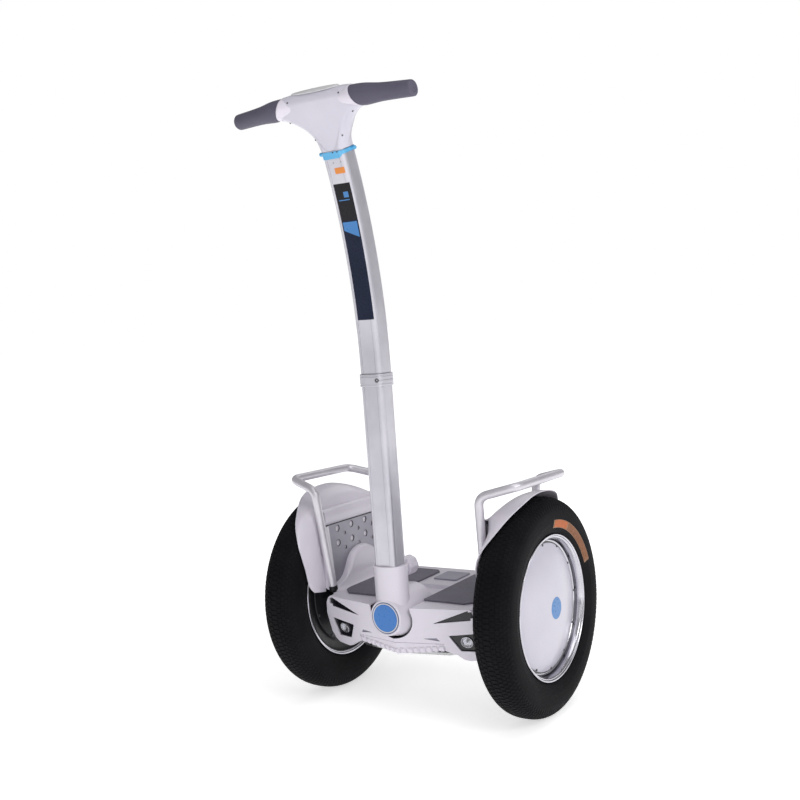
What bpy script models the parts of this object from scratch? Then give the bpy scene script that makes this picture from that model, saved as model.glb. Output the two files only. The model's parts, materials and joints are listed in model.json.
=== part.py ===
"""Two-wheeled self-balancing personal transporter, built sub-part by sub-part in metres.

The front faces -Y. Left and right are named as seen from the front, so right is +X. Shapes are
given with the wheel axle over y = 0, and one empty then moves the vehicle so that its box is centred.
"""

from math import atan2, cos, degrees, pi, radians, sin, sqrt

import bmesh
import bpy
from mathutils import Matrix, Vector

GAP = 0.0003  # clearance kept between neighbouring pieces
VEHICLE_Y = 0.03735  # puts the middle of the vehicle's box over the origin

# Wheels
WHEEL_FACETS = 48
TYRE_RADIUS = 0.235
AXLE_Z = TYRE_RADIUS * cos(pi / WHEEL_FACETS)
TRACK = 0.540
TYRE_WIDTH = 0.086
TYRE_SECTION = 0.041
TREAD_SHARE = 0.38  # half width of the flat tread over the tyre's half width
RIM_RADIUS = 0.155
RIM_BARREL = RIM_RADIUS - 0.012
RIM_HALF_WIDTH = 0.0363
DISC_RADIUS = RIM_BARREL - 0.0065
DISC_INSET = 0.0186
DISC_CROWN = 0.0120
AXLE_RADIUS = 0.0125
BEARING_RADIUS = 0.021
BEARING_WIDTH = 0.010
STATOR_RADIUS = DISC_RADIUS - 0.0185

# Fenders and rails, placed inwards from the tyres
TYRE_TO_FENDER = 0.0073
FENDER_X = TRACK / 2 - TYRE_WIDTH / 2 - TYRE_TO_FENDER
FENDER_THICKNESS = 0.0025
PLATE_X = FENDER_X - 0.0112
PLATE_THICKNESS = 0.002
PLATE_TOP = 2 * TYRE_RADIUS - 0.034
RAIL_RADIUS = 0.0095

# Platform
DECK_Z = TYRE_RADIUS + 0.021
DECK_HALF = PLATE_X - 0.0185
DECK_REAR = 0.165
WALL = 0.003
MAT_THICKNESS = 0.004
NOSE_Y = -0.184  # front surface: y = NOSE_Y + NOSE_SWEEP * |x| - NOSE_RAKE * (z - DECK_Z)
NOSE_SWEEP = 0.227
NOSE_RAKE = 0.293
COVER_SEAM = -0.1178
COVER_BACK = -0.060
COVER_STEP_Z = DECK_Z - 0.0078
LAMP_X = DECK_HALF - 0.030
LAMP_Z = DECK_Z - 0.0765
LENS_RADIUS = 0.0135
LENS_SEAT = 0.0032  # depth of the lens's back behind the nose surface
BEZEL_LAP = 0.003  # how far the bezel reaches behind the cover's wall round its opening
CHIN_HALF = DECK_HALF - 0.0805
CHIN_BOTTOM = DECK_Z - 0.111
CHIN_TOP = DECK_Z - 0.082
CHIN_DEPTH = 0.0150
PAN_Z = DECK_Z - 0.1135
REAR_FACE = 0.1625
PORT_X = 0.115  # the charging socket on the right and the power button on the left
PORT_Z = DECK_Z - 0.060
FRAME_HALF = DECK_HALF - 0.012
FRAME_FRONT = -0.056
FRAME_REAR = 0.135
FRAME_FLOOR = DECK_Z - 0.107
FRAME_WALL = 0.005
FRAME_BASE = 0.004
BATTERY_LENGTH = 0.154
BATTERY_HEIGHT = 0.0615

# Steering pivot and stem
PIVOT_Z = DECK_Z - 0.0214
HUB_RADIUS = 0.0512
HUB_NOSE_RADIUS = 0.0410
HUB_FRONT = -0.1886
HUB_REAR = -0.064
SHAFT_RADIUS = 0.010
BADGE_RADIUS = 0.0341
BASE_HALF_X = 0.038
BASE_HALF_Y = 0.033
BASE_TOP = PIVOT_Z + 0.1104
STEM_Y = -0.155
STEM_HALF_X = 0.028
STEM_HALF_Y = 0.026
STEM_CORNER = 0.013
STEM_WALL = 0.0025
STEM_BOTTOM = PIVOT_Z + 0.0289
LOWER_STEM_LENGTH = 0.4935
STEM_JOINT = STEM_BOTTOM + LOWER_STEM_LENGTH
STEM_ARC = 1.434
STEM_LEAN = radians(18.92)
SPIGOT_LENGTH = 0.250
COLLAR_HEIGHT = 0.038
COLLAR_WALL = 0.0022
KNOB_Z = PIVOT_Z + 0.0924
KNOB_RADIUS = 0.0248
KNOB_LENGTH = 0.0395

# Handlebar head, in a frame that leans forward from the stem's top
HEAD_LEAN = radians(31.5)
HEAD_TOP = 0.1240
HEAD_BACK = 0.026
GRIP_INNER = 0.0946  # where the grip's axis meets the head's slanted side
GRIP_HEIGHT = 0.1009
GRIP_FORWARD = 0.003
GRIP_DROOP = 0.082
GRIP_SWEEP = 0.050
GRIP_SLANT = 0.4286
GRIP_OUTER = 0.2195
GRIP_THICK = 0.0215
GRIP_THIN = 0.0158
BAR_RADIUS = 0.011


def clear_scene():
    for old in list(bpy.data.objects):
        bpy.data.objects.remove(old)


def material(name, colour, roughness, metallic=0.0):
    made = bpy.data.materials.new(name)
    made.use_nodes = True
    shader = made.node_tree.nodes["Principled BSDF"]
    shader.inputs["Base Color"].default_value = (*colour, 1.0)
    shader.inputs["Roughness"].default_value = roughness
    shader.inputs["Metallic"].default_value = metallic
    made.diffuse_color = (*colour, 1.0)
    return made


def add_object(name, mesh, look, origin=(0.0, 0.0, 0.0), helper=False):
    """Puts a mesh given in vehicle coordinates into the scene with its origin at the given point."""
    mesh.transform(Matrix.Translation(-Vector(origin)))
    obj = bpy.data.objects.new(name, mesh)
    bpy.context.scene.collection.objects.link(obj)
    obj.parent = VEHICLE
    obj.location = origin
    if helper:
        obj.hide_render = True
        obj.display_type = "WIRE"
    else:
        mesh.materials.append(look)
    return obj


def mesh_of(name, points, faces):
    """A mesh from points and faces, with its normals made to point out."""
    mesh = bpy.data.meshes.new(name)
    mesh.from_pydata([tuple(p) for p in points], [], faces)
    bm = bmesh.new()
    bm.from_mesh(mesh)
    bmesh.ops.recalc_face_normals(bm, faces=bm.faces)
    bm.to_mesh(mesh)
    bm.free()
    return mesh


def smooth(obj, angle=35.0):
    obj.data.shade_smooth()
    obj.data.set_sharp_from_angle(angle=radians(angle))
    return obj


def prism_mesh(name, outline, axis, start, end):
    """Extrudes a flat outline along an axis. An outline point is (y, z), (x, z) or (x, y)."""

    def place(point, along):
        u, v = point
        return {"X": (along, u, v), "Y": (u, along, v), "Z": (u, v, along)}[axis]

    count = len(outline)
    points = [place(p, start) for p in outline] + [place(p, end) for p in outline]
    sides = [(i, (i + 1) % count, count + (i + 1) % count, count + i) for i in range(count)]
    return mesh_of(name, points, [*sides, tuple(range(count)), tuple(range(count, 2 * count))])


def turned_mesh(name, profile, axis, centre, steps):
    """Turns a closed profile of (along, radius) points round an axis through the centre."""
    half = pi / steps

    def place(along, radius, turn):
        c, s = radius * cos(turn), radius * sin(turn)
        return Vector(centre) + Vector({"X": (along, s, c), "Y": (s, along, c), "Z": (c, s, along)}[axis])

    points = []
    rings = []
    for along, radius in profile:
        first = len(points)
        if radius < 1e-9:
            points.append(place(along, 0.0, 0.0))
            rings.append([first] * steps)
            continue
        points += [place(along, radius, 2 * pi * step / steps + half) for step in range(steps)]
        rings.append(list(range(first, first + steps)))
    faces = []
    for here, there in zip(rings, rings[1:] + rings[:1]):
        for step in range(steps):
            after = (step + 1) % steps
            face = (here[step], here[after], there[after], there[step])
            face = tuple(dict.fromkeys(face))
            if len(face) > 2:
                faces.append(face)
    return mesh_of(name, points, faces)


def rod_mesh(name, radius, axis, start, end, centre, steps=24):
    profile = [(start, 0.0), (start, radius), (end, radius), (end, 0.0)]
    return turned_mesh(name, profile, axis, centre, steps)


def sweep_mesh(name, loops, closed=False):
    """Joins equal loops of points in order into one solid. A closed sweep joins the last to the first."""
    count = len(loops[0])
    points = [p for loop in loops for p in loop]
    faces = []
    spans = len(loops) if closed else len(loops) - 1
    for k in range(spans):
        here, there = k * count, ((k + 1) % len(loops)) * count
        for i in range(count):
            j = (i + 1) % count
            faces.append((here + i, here + j, there + j, there + i))
    if not closed:
        faces.append(tuple(range(count)))
        faces.append(tuple(range((len(loops) - 1) * count, len(loops) * count)))
    return mesh_of(name, points, faces)


def tube_mesh(name, outer, inner):
    """A tube between outer loops and inner loops, open at both ends."""
    return sweep_mesh(name, [*outer, *reversed(inner)], closed=True)


def box_mesh(name, low, high):
    outline = [(low[0], low[1]), (high[0], low[1]), (high[0], high[1]), (low[0], high[1])]
    return prism_mesh(name, outline, "Z", low[2], high[2])


def mirrored(outline):
    """Completes a half outline that runs from the centre line round to the centre line on +x."""
    return outline + [(-x, y) for x, y in reversed(outline) if abs(x) > 1e-9]


def rounded(corners, steps=4):
    """Rounds a polygon's corners. A corner is (u, v, radius)."""
    outline = []
    count = len(corners)
    for i, (u, v, radius) in enumerate(corners):
        here = Vector((u, v))
        if radius <= 0.0:
            outline.append((u, v))
            continue
        before = (Vector(corners[i - 1][:2]) - here).normalized()
        after = (Vector(corners[(i + 1) % count][:2]) - here).normalized()
        half = before.angle(after) / 2
        reach = radius / sin(half) * cos(half)
        middle = here + (before + after).normalized() * radius / sin(half)
        first = here + before * reach - middle
        last = here + after * reach - middle
        start = atan2(first.y, first.x)
        turn = (atan2(last.y, last.x) - start + pi) % (2 * pi) - pi
        for step in range(steps + 1):
            angle = start + turn * step / steps
            outline.append((middle.x + radius * cos(angle), middle.y + radius * sin(angle)))
    return outline


def inset(outline, distance):
    """Moves each side of an outline inwards by the distance."""
    count = len(outline)
    area = sum(outline[i - 1][0] * outline[i][1] - outline[i][0] * outline[i - 1][1] for i in range(count))
    side = 1.0 if area > 0 else -1.0
    moved = []
    for i in range(count):
        here = Vector(outline[i])
        before = (here - Vector(outline[i - 1])).normalized()
        after = (Vector(outline[(i + 1) % count]) - here).normalized()
        normal = Vector((-before.y - after.y, before.x + after.x)) * side
        normal.normalize()
        shrink = max(0.3, normal.dot(Vector((-before.y, before.x)) * side))
        point = here + normal * distance / shrink
        moved.append((point.x, point.y))
    return moved


def round_rect(half_u, half_v, radius, steps=4):
    corners = [
        (-half_u, -half_v, radius), (half_u, -half_v, radius),
        (half_u, half_v, radius), (-half_u, half_v, radius),
    ]
    return rounded(corners, steps)


def circle(u, v, radius, steps=16):
    half = pi / steps
    return [
        (u + radius * sin(2 * pi * i / steps + half), v + radius * cos(2 * pi * i / steps + half))
        for i in range(steps)
    ]


def combine(obj, mesh, operation):
    """Joins a mesh to an object or cuts it away with a Boolean modifier, and keeps the helper hidden."""
    helper = add_object(f"{obj.name}_{operation.lower()}", mesh, None, helper=True)
    modifier = obj.modifiers.new(helper.name, "BOOLEAN")
    modifier.operation = operation
    modifier.solver = "EXACT"
    modifier.object = helper
    return obj


def cut(obj, *meshes):
    for mesh in meshes:
        combine(obj, mesh, "DIFFERENCE")
    return obj


def join(obj, *meshes):
    for mesh in meshes:
        combine(obj, mesh, "UNION")
    return obj


def nose_y(x, z, behind=0.0):
    return NOSE_Y + NOSE_SWEEP * abs(x) - NOSE_RAKE * (z - DECK_Z) + behind


def nose_block(name, half, behind, back):
    """A solid between the V-shaped nose surface and a plane at its back, from half a front outline."""
    count = len(half)
    right = list(range(count))
    left = [0, *range(2 * count - 3, count - 1, -1), count - 1]
    outline = [*half, *((-x, z) for x, z in reversed(half[1:-1]))]
    total = len(outline)
    points = [(x, nose_y(x, z, behind), z) for x, z in outline] + [(x, back, z) for x, z in outline]
    sides = [(i, (i + 1) % total, total + (i + 1) % total, total + i) for i in range(total)]
    return mesh_of(name, points, [*sides, tuple(right), tuple(left), tuple(range(total, 2 * total))])


def nose_prism(name, outline, front, back):
    """A slab parallel to the platform's raked nose, from one depth behind its surface to another."""
    loops = [[(x, nose_y(x, z, depth), z) for x, z in outline] for depth in (front, back)]
    return sweep_mesh(name, loops)


def make_looks():
    return {
        "white_plastic": material("white_plastic", (0.80, 0.79, 0.82), 0.32),
        "black_plastic": material("black_plastic", (0.012, 0.012, 0.014), 0.45),
        "tyre_rubber": material("tyre_rubber", (0.014, 0.014, 0.015), 0.75),
        "mat_rubber": material("mat_rubber", (0.115, 0.108, 0.125), 0.80),
        "grip_rubber": material("grip_rubber", (0.085, 0.080, 0.100), 0.65),
        "satin_aluminium": material("satin_aluminium", (0.56, 0.56, 0.60), 0.34, 0.9),
        "polished_rim": material("polished_rim", (0.72, 0.71, 0.75), 0.16, 1.0),
        "cast_aluminium": material("cast_aluminium", (0.42, 0.42, 0.44), 0.50, 0.9),
        "perforated_steel": material("perforated_steel", (0.30, 0.29, 0.33), 0.42, 0.8),
        "steel": material("steel", (0.45, 0.45, 0.46), 0.30, 1.0),
        "blue_plastic": material("blue_plastic", (0.035, 0.22, 0.60), 0.35),
        "sky_plastic": material("sky_plastic", (0.10, 0.42, 0.72), 0.35),
        "grey_plastic": material("grey_plastic", (0.34, 0.33, 0.38), 0.55),
        "pale_grey_plastic": material("pale_grey_plastic", (0.62, 0.62, 0.62), 0.40),
        "clear_lens": material("clear_lens", (0.80, 0.82, 0.85), 0.08),
        "red_lens": material("red_lens", (0.45, 0.02, 0.02), 0.15),
        "copper_winding": material("copper_winding", (0.55, 0.22, 0.08), 0.40, 0.9),
        "battery_case": material("battery_case", (0.05, 0.09, 0.16), 0.55),
        "board_green": material("board_green", (0.03, 0.20, 0.08), 0.45),
    }


def build_wheel(side, sign, looks):
    """One hub-motor wheel. Lengths along X are measured outwards from the tyre's middle plane."""
    centre = (sign * TRACK / 2, 0.0, AXLE_Z)

    def turned(name, profile, look, steps=WHEEL_FACETS):
        placed = [(sign * along, radius) for along, radius in profile]
        mesh = turned_mesh(name, placed, "X", centre, steps)
        return smooth(add_object(f"{name}_{side}", mesh, looks[look], centre))

    half = TYRE_WIDTH / 2
    crown = TYRE_RADIUS - TYRE_SECTION

    def rise(share):
        return (1 - share**2.4) ** (1 / 2.4)

    flank = [(share, rise(share) / rise(TREAD_SHARE)) for share in (1.0, 0.89, 0.70, TREAD_SHARE)]
    shoulder = [(-half * share, crown + TYRE_SECTION * height) for share, height in flank]
    shoulder += [(half * share, crown + TYRE_SECTION * height) for share, height in reversed(flank)]
    bead = RIM_BARREL + 0.006 + GAP
    seat = RIM_HALF_WIDTH - 0.005 - GAP
    flange_top = RIM_RADIUS + GAP
    tyre = [(-seat, bead), (-seat, flange_top), *shoulder, (seat, flange_top), (seat, bead)]
    turned("tyre", tyre, "tyre_rubber")

    edge = RIM_HALF_WIDTH
    disc_x = edge - DISC_INSET
    shelf = disc_x - 0.004
    inner_shelf = -edge + 0.012
    rim = [
        (-edge, RIM_RADIUS - 0.003), (-seat - GAP, RIM_RADIUS), (-seat - GAP, bead - GAP),
        (seat + GAP, bead - GAP), (seat + GAP, RIM_RADIUS), (edge, RIM_RADIUS - 0.003),
        (edge - 0.004, RIM_BARREL + 0.002), (shelf, RIM_BARREL - 0.003), (shelf, DISC_RADIUS - 0.0165),
        (inner_shelf, DISC_RADIUS - 0.0165), (inner_shelf, DISC_RADIUS - 0.012),
        (-edge + 0.008, RIM_BARREL - 0.003), (-edge + 0.004, RIM_BARREL + 0.002),
    ]
    turned("wheel_rim", rim, "polished_rim")

    back = shelf + GAP
    hollow = BEARING_RADIUS + GAP
    inner_end = back - 0.002
    dome = [
        (disc_x, DISC_RADIUS), (disc_x + 0.45 * DISC_CROWN, 0.74 * DISC_RADIUS),
        (disc_x + DISC_CROWN, 0.26 * DISC_RADIUS), (disc_x + DISC_CROWN, 0.0),
        (inner_end + 0.002 + BEARING_WIDTH, 0.0), (inner_end + 0.002 + BEARING_WIDTH, hollow),
        (inner_end, hollow), (inner_end, hollow + 0.006), (back, hollow + 0.012), (back, DISC_RADIUS),
    ]
    turned("motor_cover_outer", dome, "white_plastic", 36)

    plate = inner_shelf - GAP
    inner_cover = [
        (plate, DISC_RADIUS - 0.0130), (plate - 0.006, DISC_RADIUS - 0.0130), (plate - 0.014, 0.050),
        (plate - 0.014, hollow), (plate - 0.001, hollow), (plate - 0.001, 0.050),
        (plate, DISC_RADIUS - 0.020),
    ]
    turned("motor_cover_inner", inner_cover, "black_plastic", 36)

    bore = AXLE_RADIUS + GAP
    outer_start = inner_end + 0.001
    for name, start in (("wheel_bearing_outer", outer_start), ("wheel_bearing_inner", plate - 0.013)):
        end = start + BEARING_WIDTH
        ring = [(start, bore), (start, BEARING_RADIUS), (end, BEARING_RADIUS), (end, bore)]
        turned(name, ring, "steel", 20)

    stator = [
        (-0.016, bore), (-0.016, 0.030), (-0.0095, 0.080), (-0.013, STATOR_RADIUS),
        (0.004, STATOR_RADIUS), (0.000, 0.080), (0.005, 0.030), (0.005, bore),
    ]
    turned("motor_stator", stator, "copper_winding", 24)

    tip = outer_start + BEARING_WIDTH
    root_x = FRAME_HALF - 0.025 - TRACK / 2
    axle = [
        (root_x, 0.0), (root_x, 0.0170), (root_x + 0.018, 0.0170), (root_x + 0.018, AXLE_RADIUS),
        (tip, AXLE_RADIUS), (tip, 0.0),
    ]
    turned("axle", axle, "steel", 24)


def build_frame(looks):
    """The cast tray that carries the axles, the steering shaft and the battery."""
    top = DECK_Z - WALL - GAP
    tray = add_object(
        "chassis_frame",
        box_mesh("chassis_frame", (-FRAME_HALF, FRAME_FRONT, FRAME_FLOOR), (FRAME_HALF, FRAME_REAR, top)),
        looks["cast_aluminium"],
    )
    inner = FRAME_HALF - 0.007
    floor = FRAME_FLOOR + FRAME_BASE
    cut(
        tray,
        box_mesh(
            "tray_hollow",
            (-inner, FRAME_FRONT + FRAME_WALL, floor),
            (inner, FRAME_REAR - FRAME_WALL, top + 0.01),
        ),
    )
    for sign in (-1, 1):
        reach = sorted((sign * (FRAME_HALF - 0.003), sign * (FRAME_HALF + 0.008)))
        join(tray, rod_mesh("axle_boss", 0.0180, "X", *reach, (0.0, 0.0, AXLE_Z - 0.002)))
        reach = sorted((sign * (FRAME_HALF - 0.02), sign * (FRAME_HALF + 0.02)))
        cut(tray, rod_mesh("axle_bore", AXLE_RADIUS + GAP, "X", *reach, (0.0, 0.0, AXLE_Z)))
    ahead, behind = FRAME_FRONT - 0.01, FRAME_FRONT + 0.01
    cut(tray, rod_mesh("shaft_bore", SHAFT_RADIUS + GAP, "Y", ahead, behind, (0.0, 0.0, PIVOT_Z)))
    beyond = FRAME_HALF + 0.01
    shoulder_z, above = DECK_Z - 0.020, DECK_Z + 0.044
    relief = mirrored([
        (0.0, top + 0.02), (0.018, top + 0.02), (0.030, shoulder_z), (beyond, shoulder_z), (beyond, above),
        (0.0, above),
    ])
    cut(tray, prism_mesh("front_relief", relief, "Y", FRAME_FRONT - 0.01, FRAME_FRONT + FRAME_WALL + 0.002))
    return tray


def front_outline():
    """Right half of the front cover's outline from the centre of its top to the centre of its bottom."""
    corners = [
        (-0.009, 0.0), (-0.0015, 0.005), (0.007, 0.016), (0.0165, 0.044), (0.016, 0.091), (0.008, 0.109),
        (-0.003, 0.117), (-0.033, 0.1205), (-0.045, 0.117), (-0.057, 0.107),
    ]
    step_x, step_z = CHIN_HALF + 0.0005, CHIN_TOP + GAP
    edge = [(DECK_HALF + beyond, DECK_Z - drop) for beyond, drop in corners]
    return [(0.0, DECK_Z), *edge, (step_x, DECK_Z - 0.099), (step_x, step_z), (0.0, step_z)]


def lean_clearance(name, front, back, radius):
    """The space that the leaning stem base sweeps: a round bore that opens upwards to straight sides."""
    bore = rod_mesh(name, radius, "Y", front, back, (0.0, 0.0, PIVOT_Z), 32)
    half = [(0.0, -0.009), (0.0418, -0.009), (0.0510, 0.005), (0.0520, 0.060), (0.0, 0.060)]
    outline = mirrored([(x, PIVOT_Z + z) for x, z in half])
    wedge = prism_mesh(f"{name}_wedge", outline, "Y", front, back)
    return bore, wedge


def lamp_outline(sign):
    """The headlight recess in the nose, seen from the front."""
    inner, outer, low, high = LAMP_X - 0.037, LAMP_X + 0.030, LAMP_Z - 0.021, LAMP_Z + 0.0225
    corners = [(inner, high - 0.008), (inner + 0.020, low), (outer - 0.009, low), (outer, high)]
    return [(sign * x, z) for x, z in rounded([(x, z, 0.002) for x, z in corners], 2)]


def build_front_cover(looks):
    outline = front_outline()
    shell = add_object(
        "front_cover", nose_block("front_cover", outline, 0.0, COVER_BACK), looks["white_plastic"]
    )
    cut(shell, box_mesh("deck_step", (-TRACK, COVER_SEAM, COVER_STEP_Z), (TRACK, 0.0, DECK_Z + 0.05)))
    whole = inset(mirrored(outline), WALL)
    low = [(max(x, 0.0), min(z, COVER_STEP_Z - WALL)) for x, z in whole[: len(outline)]]
    crest_x, crest_z = DECK_HALF - 0.012, COVER_STEP_Z - 0.0082
    crest = [(0.0, DECK_Z - WALL), (crest_x, DECK_Z - WALL), (crest_x, crest_z), (0.0, crest_z)]
    cut(
        shell,
        nose_block("low_hollow", low, WALL * 1.05, COVER_BACK + 0.01),
        nose_block("crest_hollow", crest, WALL * 1.04, COVER_SEAM - WALL),
    )
    cut(shell, *lean_clearance("hub_clearance", -0.25, 0.0, HUB_NOSE_RADIUS + 0.0016))
    for sign in (-1, 1):
        slot_tip, slot_end = DECK_HALF - 0.092, DECK_HALF - 0.004
        slot_top = DECK_Z - 0.004
        slot = (
            (slot_tip, slot_top - 0.0295), (slot_end, slot_top - 0.014), (slot_end, slot_top),
            (slot_end - 0.006, slot_top - 0.0005),
        )
        vent_end, vent_z = CHIN_HALF - 0.008, CHIN_TOP + 0.006
        vent = ((vent_end - 0.0355, vent_z + 0.005), (vent_end, vent_z), (vent_end - 0.0055, vent_z + 0.008))
        cut(
            shell,
            nose_prism("lamp_opening", lamp_outline(sign), -0.02, 0.010),
            nose_prism("slot_opening", [(sign * x, z) for x, z in slot], -0.02, 0.010),
            nose_prism("vent_opening", [(sign * x, z) for x, z in vent], -0.02, 0.010),
        )
    return smooth(shell, 30)


def build_headlights(looks):
    for side, sign in (("left", -1), ("right", 1)):
        outline = inset(lamp_outline(sign), -BEZEL_LAP)
        bezel = nose_prism("bezel", outline, LENS_SEAT + GAP, LENS_SEAT + 0.0098)
        add_object(f"headlight_bezel_{side}", bezel, looks["black_plastic"])
        disc = circle(sign * LAMP_X, LAMP_Z, LENS_RADIUS, 20)
        lens = nose_prism("lens", disc, 0.0010, LENS_SEAT)
        add_object(f"headlight_lens_{side}", lens, looks["clear_lens"])


def build_chin(looks):
    """The ribbed guard along the nose's lower edge."""
    loops = []
    for step in range(-3, 4):
        x = CHIN_HALF * step / 3
        bottom = CHIN_BOTTOM + 0.0110 * abs(step) / 3
        back = nose_y(x, bottom, CHIN_DEPTH)
        lip = bottom + 0.006
        loops.append([
            (x, nose_y(x, bottom, 0.0030), bottom), (x, back, bottom), (x, back, CHIN_TOP),
            (x, nose_y(x, CHIN_TOP, 0.0005), CHIN_TOP), (x, nose_y(x, lip, -0.0010), lip),
        ])
    add_object("chin_guard", sweep_mesh("chin_guard", loops), looks["white_plastic"])


def build_deck(looks):
    front = COVER_SEAM + GAP
    corners = [
        (0.0, front, 0), (DECK_HALF, front, 0), (DECK_HALF, DECK_REAR, 0.035), (0.0, DECK_REAR + 0.001, 0),
    ]
    outline = mirrored(rounded(corners, 5))
    low = COVER_STEP_Z + GAP
    mesh = prism_mesh("deck_cover", outline, "Z", low, DECK_Z)
    deck = add_object("deck_cover", mesh, looks["white_plastic"])
    hollow = inset(outline, WALL)
    cut(deck, prism_mesh("deck_hollow", hollow, "Z", low - 0.01, DECK_Z - WALL))
    channel_front, channel_rear, channel_half, channel_floor = -0.0465, 0.022, 0.044, DECK_Z - 0.0082
    pan = [
        (-channel_half - WALL, channel_front - WALL), (channel_half + WALL, channel_front - WALL),
        (channel_half + WALL, channel_rear + WALL), (-channel_half - WALL, channel_rear + WALL),
    ]
    join(deck, prism_mesh("channel_pan", pan, "Z", channel_floor - 0.0022, DECK_Z - 0.001))
    loops = []
    for z, taper in ((channel_floor, 0.006), (DECK_Z + 0.002, 0.0)):
        loops.append([
            (-channel_half + taper, channel_front, z), (channel_half - taper, channel_front, z),
            (channel_half - taper, channel_rear - taper, z),
            (-channel_half + taper, channel_rear - taper, z),
        ])
    cut(deck, sweep_mesh("channel", loops))
    cut(deck, *lean_clearance("deck_clearance", -0.25, FRAME_FRONT - 0.001, HUB_RADIUS))
    for side, sign in (("left", -1), ("right", 1)):
        inner, outer, mat_front, mat_rear = 0.0485, DECK_HALF - 0.0145, -0.111, 0.131
        corners = [
            (inner, mat_front, 0.006), (outer - 0.0245, mat_front, 0.006), (outer - 0.004, -0.089, 0.008),
            (outer, -0.070, 0.010), (outer, mat_rear, 0.012), (inner + 0.010, mat_rear, 0.012),
            (inner, mat_rear - 0.012, 0.006),
        ]
        shape = rounded([(sign * x, y, radius) for x, y, radius in corners], 3)
        mat = prism_mesh("mat", shape, "Z", DECK_Z + GAP, DECK_Z + GAP + MAT_THICKNESS)
        add_object(f"foot_mat_{side}", mat, looks["mat_rubber"])
    panel = round_rect(0.0310, 0.034, 0.004, 2)
    panel = [(x, y + 0.094) for x, y in panel]
    mesh = prism_mesh("centre_panel", panel, "Z", DECK_Z + GAP, DECK_Z + GAP + 0.003)
    add_object("centre_panel", mesh, looks["grey_plastic"])


def build_rear(looks):
    """The rear cover with its light, charging socket, hinged cap and power button."""
    front, rear = FRAME_REAR + GAP, REAR_FACE
    side = DECK_HALF - 0.0005
    middle_z = DECK_Z - 0.056
    outline = mirrored([
        (0.0, COVER_STEP_Z), (side, COVER_STEP_Z), (side, middle_z + 0.005),
        (side - 0.0135, middle_z - 0.040), (side - 0.0395, FRAME_FLOOR), (0.0, FRAME_FLOOR),
    ])

    def level(scale, y):
        return [
            (x * scale, y, z if z == COVER_STEP_Z else middle_z + (z - middle_z) * scale) for x, z in outline
        ]

    levels = [level(1.0, front), level(1.0, rear - 0.0105), level(0.965, rear)]
    shell = add_object("rear_cover", sweep_mesh("rear_cover", levels), looks["white_plastic"])
    inner = inset(outline, WALL)
    cut(shell, prism_mesh("rear_hollow", inner, "Y", front - 0.01, rear - 0.0135))
    small = [(x * 0.96, middle_z + (z - middle_z) * 0.96) for x, z in inner]
    cut(shell, prism_mesh("rear_hollow_deep", small, "Y", front - 0.01, rear - WALL))

    def opening(name, shape):
        return prism_mesh(name, shape, "Y", rear - 0.02, rear + 0.02)

    light = [(x, z + DECK_Z - 0.034) for x, z in round_rect(0.060, 0.007, 0.003, 2)]
    socket = circle(PORT_X, PORT_Z, 0.0125, 20)
    button = circle(-PORT_X, PORT_Z, 0.0105, 20)
    for name, shape in (("light_opening", light), ("socket_opening", socket), ("button_opening", button)):
        cut(shell, opening(name, shape))
    smooth(shell, 30)
    lamp = prism_mesh("tail_light", inset(light, GAP), "Y", rear - WALL - 0.003, rear + 0.001)
    add_object("tail_light", lamp, looks["red_lens"])

    centre = (PORT_X, 0.0, PORT_Z)
    cup = [
        (rear - 0.016, 0.0), (rear - 0.016, 0.012), (rear + 0.0010, 0.012), (rear + 0.0010, 0.009),
        (rear - 0.010, 0.009), (rear - 0.010, 0.0),
    ]
    add_object("charging_socket", turned_mesh("socket", cup, "Y", centre, 20), looks["black_plastic"])
    hinge = (PORT_X, rear + 0.0035, PORT_Z + 0.0153)
    lid = [(x + PORT_X, z + PORT_Z) for x, z in round_rect(0.0145, 0.0145, 0.006, 3)]
    mesh = prism_mesh("port_cap", lid, "Y", rear + 0.0015, rear + 0.0042)
    cap = add_object("port_cap", mesh, looks["black_plastic"], hinge)
    barrel_axis = (0.0, hinge[1], hinge[2])
    join(cap, rod_mesh("cap_barrel", 0.0018, "X", PORT_X - 0.010, PORT_X + 0.010, barrel_axis, 12))
    middle = (-PORT_X, 0.0, PORT_Z)
    press = [
        (rear - 0.014, 0.0), (rear - 0.014, 0.0120), (rear - WALL - GAP, 0.0120), (rear - WALL - GAP, 0.0098),
        (rear + 0.0015, 0.0095), (rear + 0.0025, 0.0080), (rear + 0.0025, 0.0),
    ]
    mesh = turned_mesh("power_button", press, "Y", middle, 20)
    add_object("power_button", mesh, looks["blue_plastic"], (-PORT_X, rear, PORT_Z))


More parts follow.
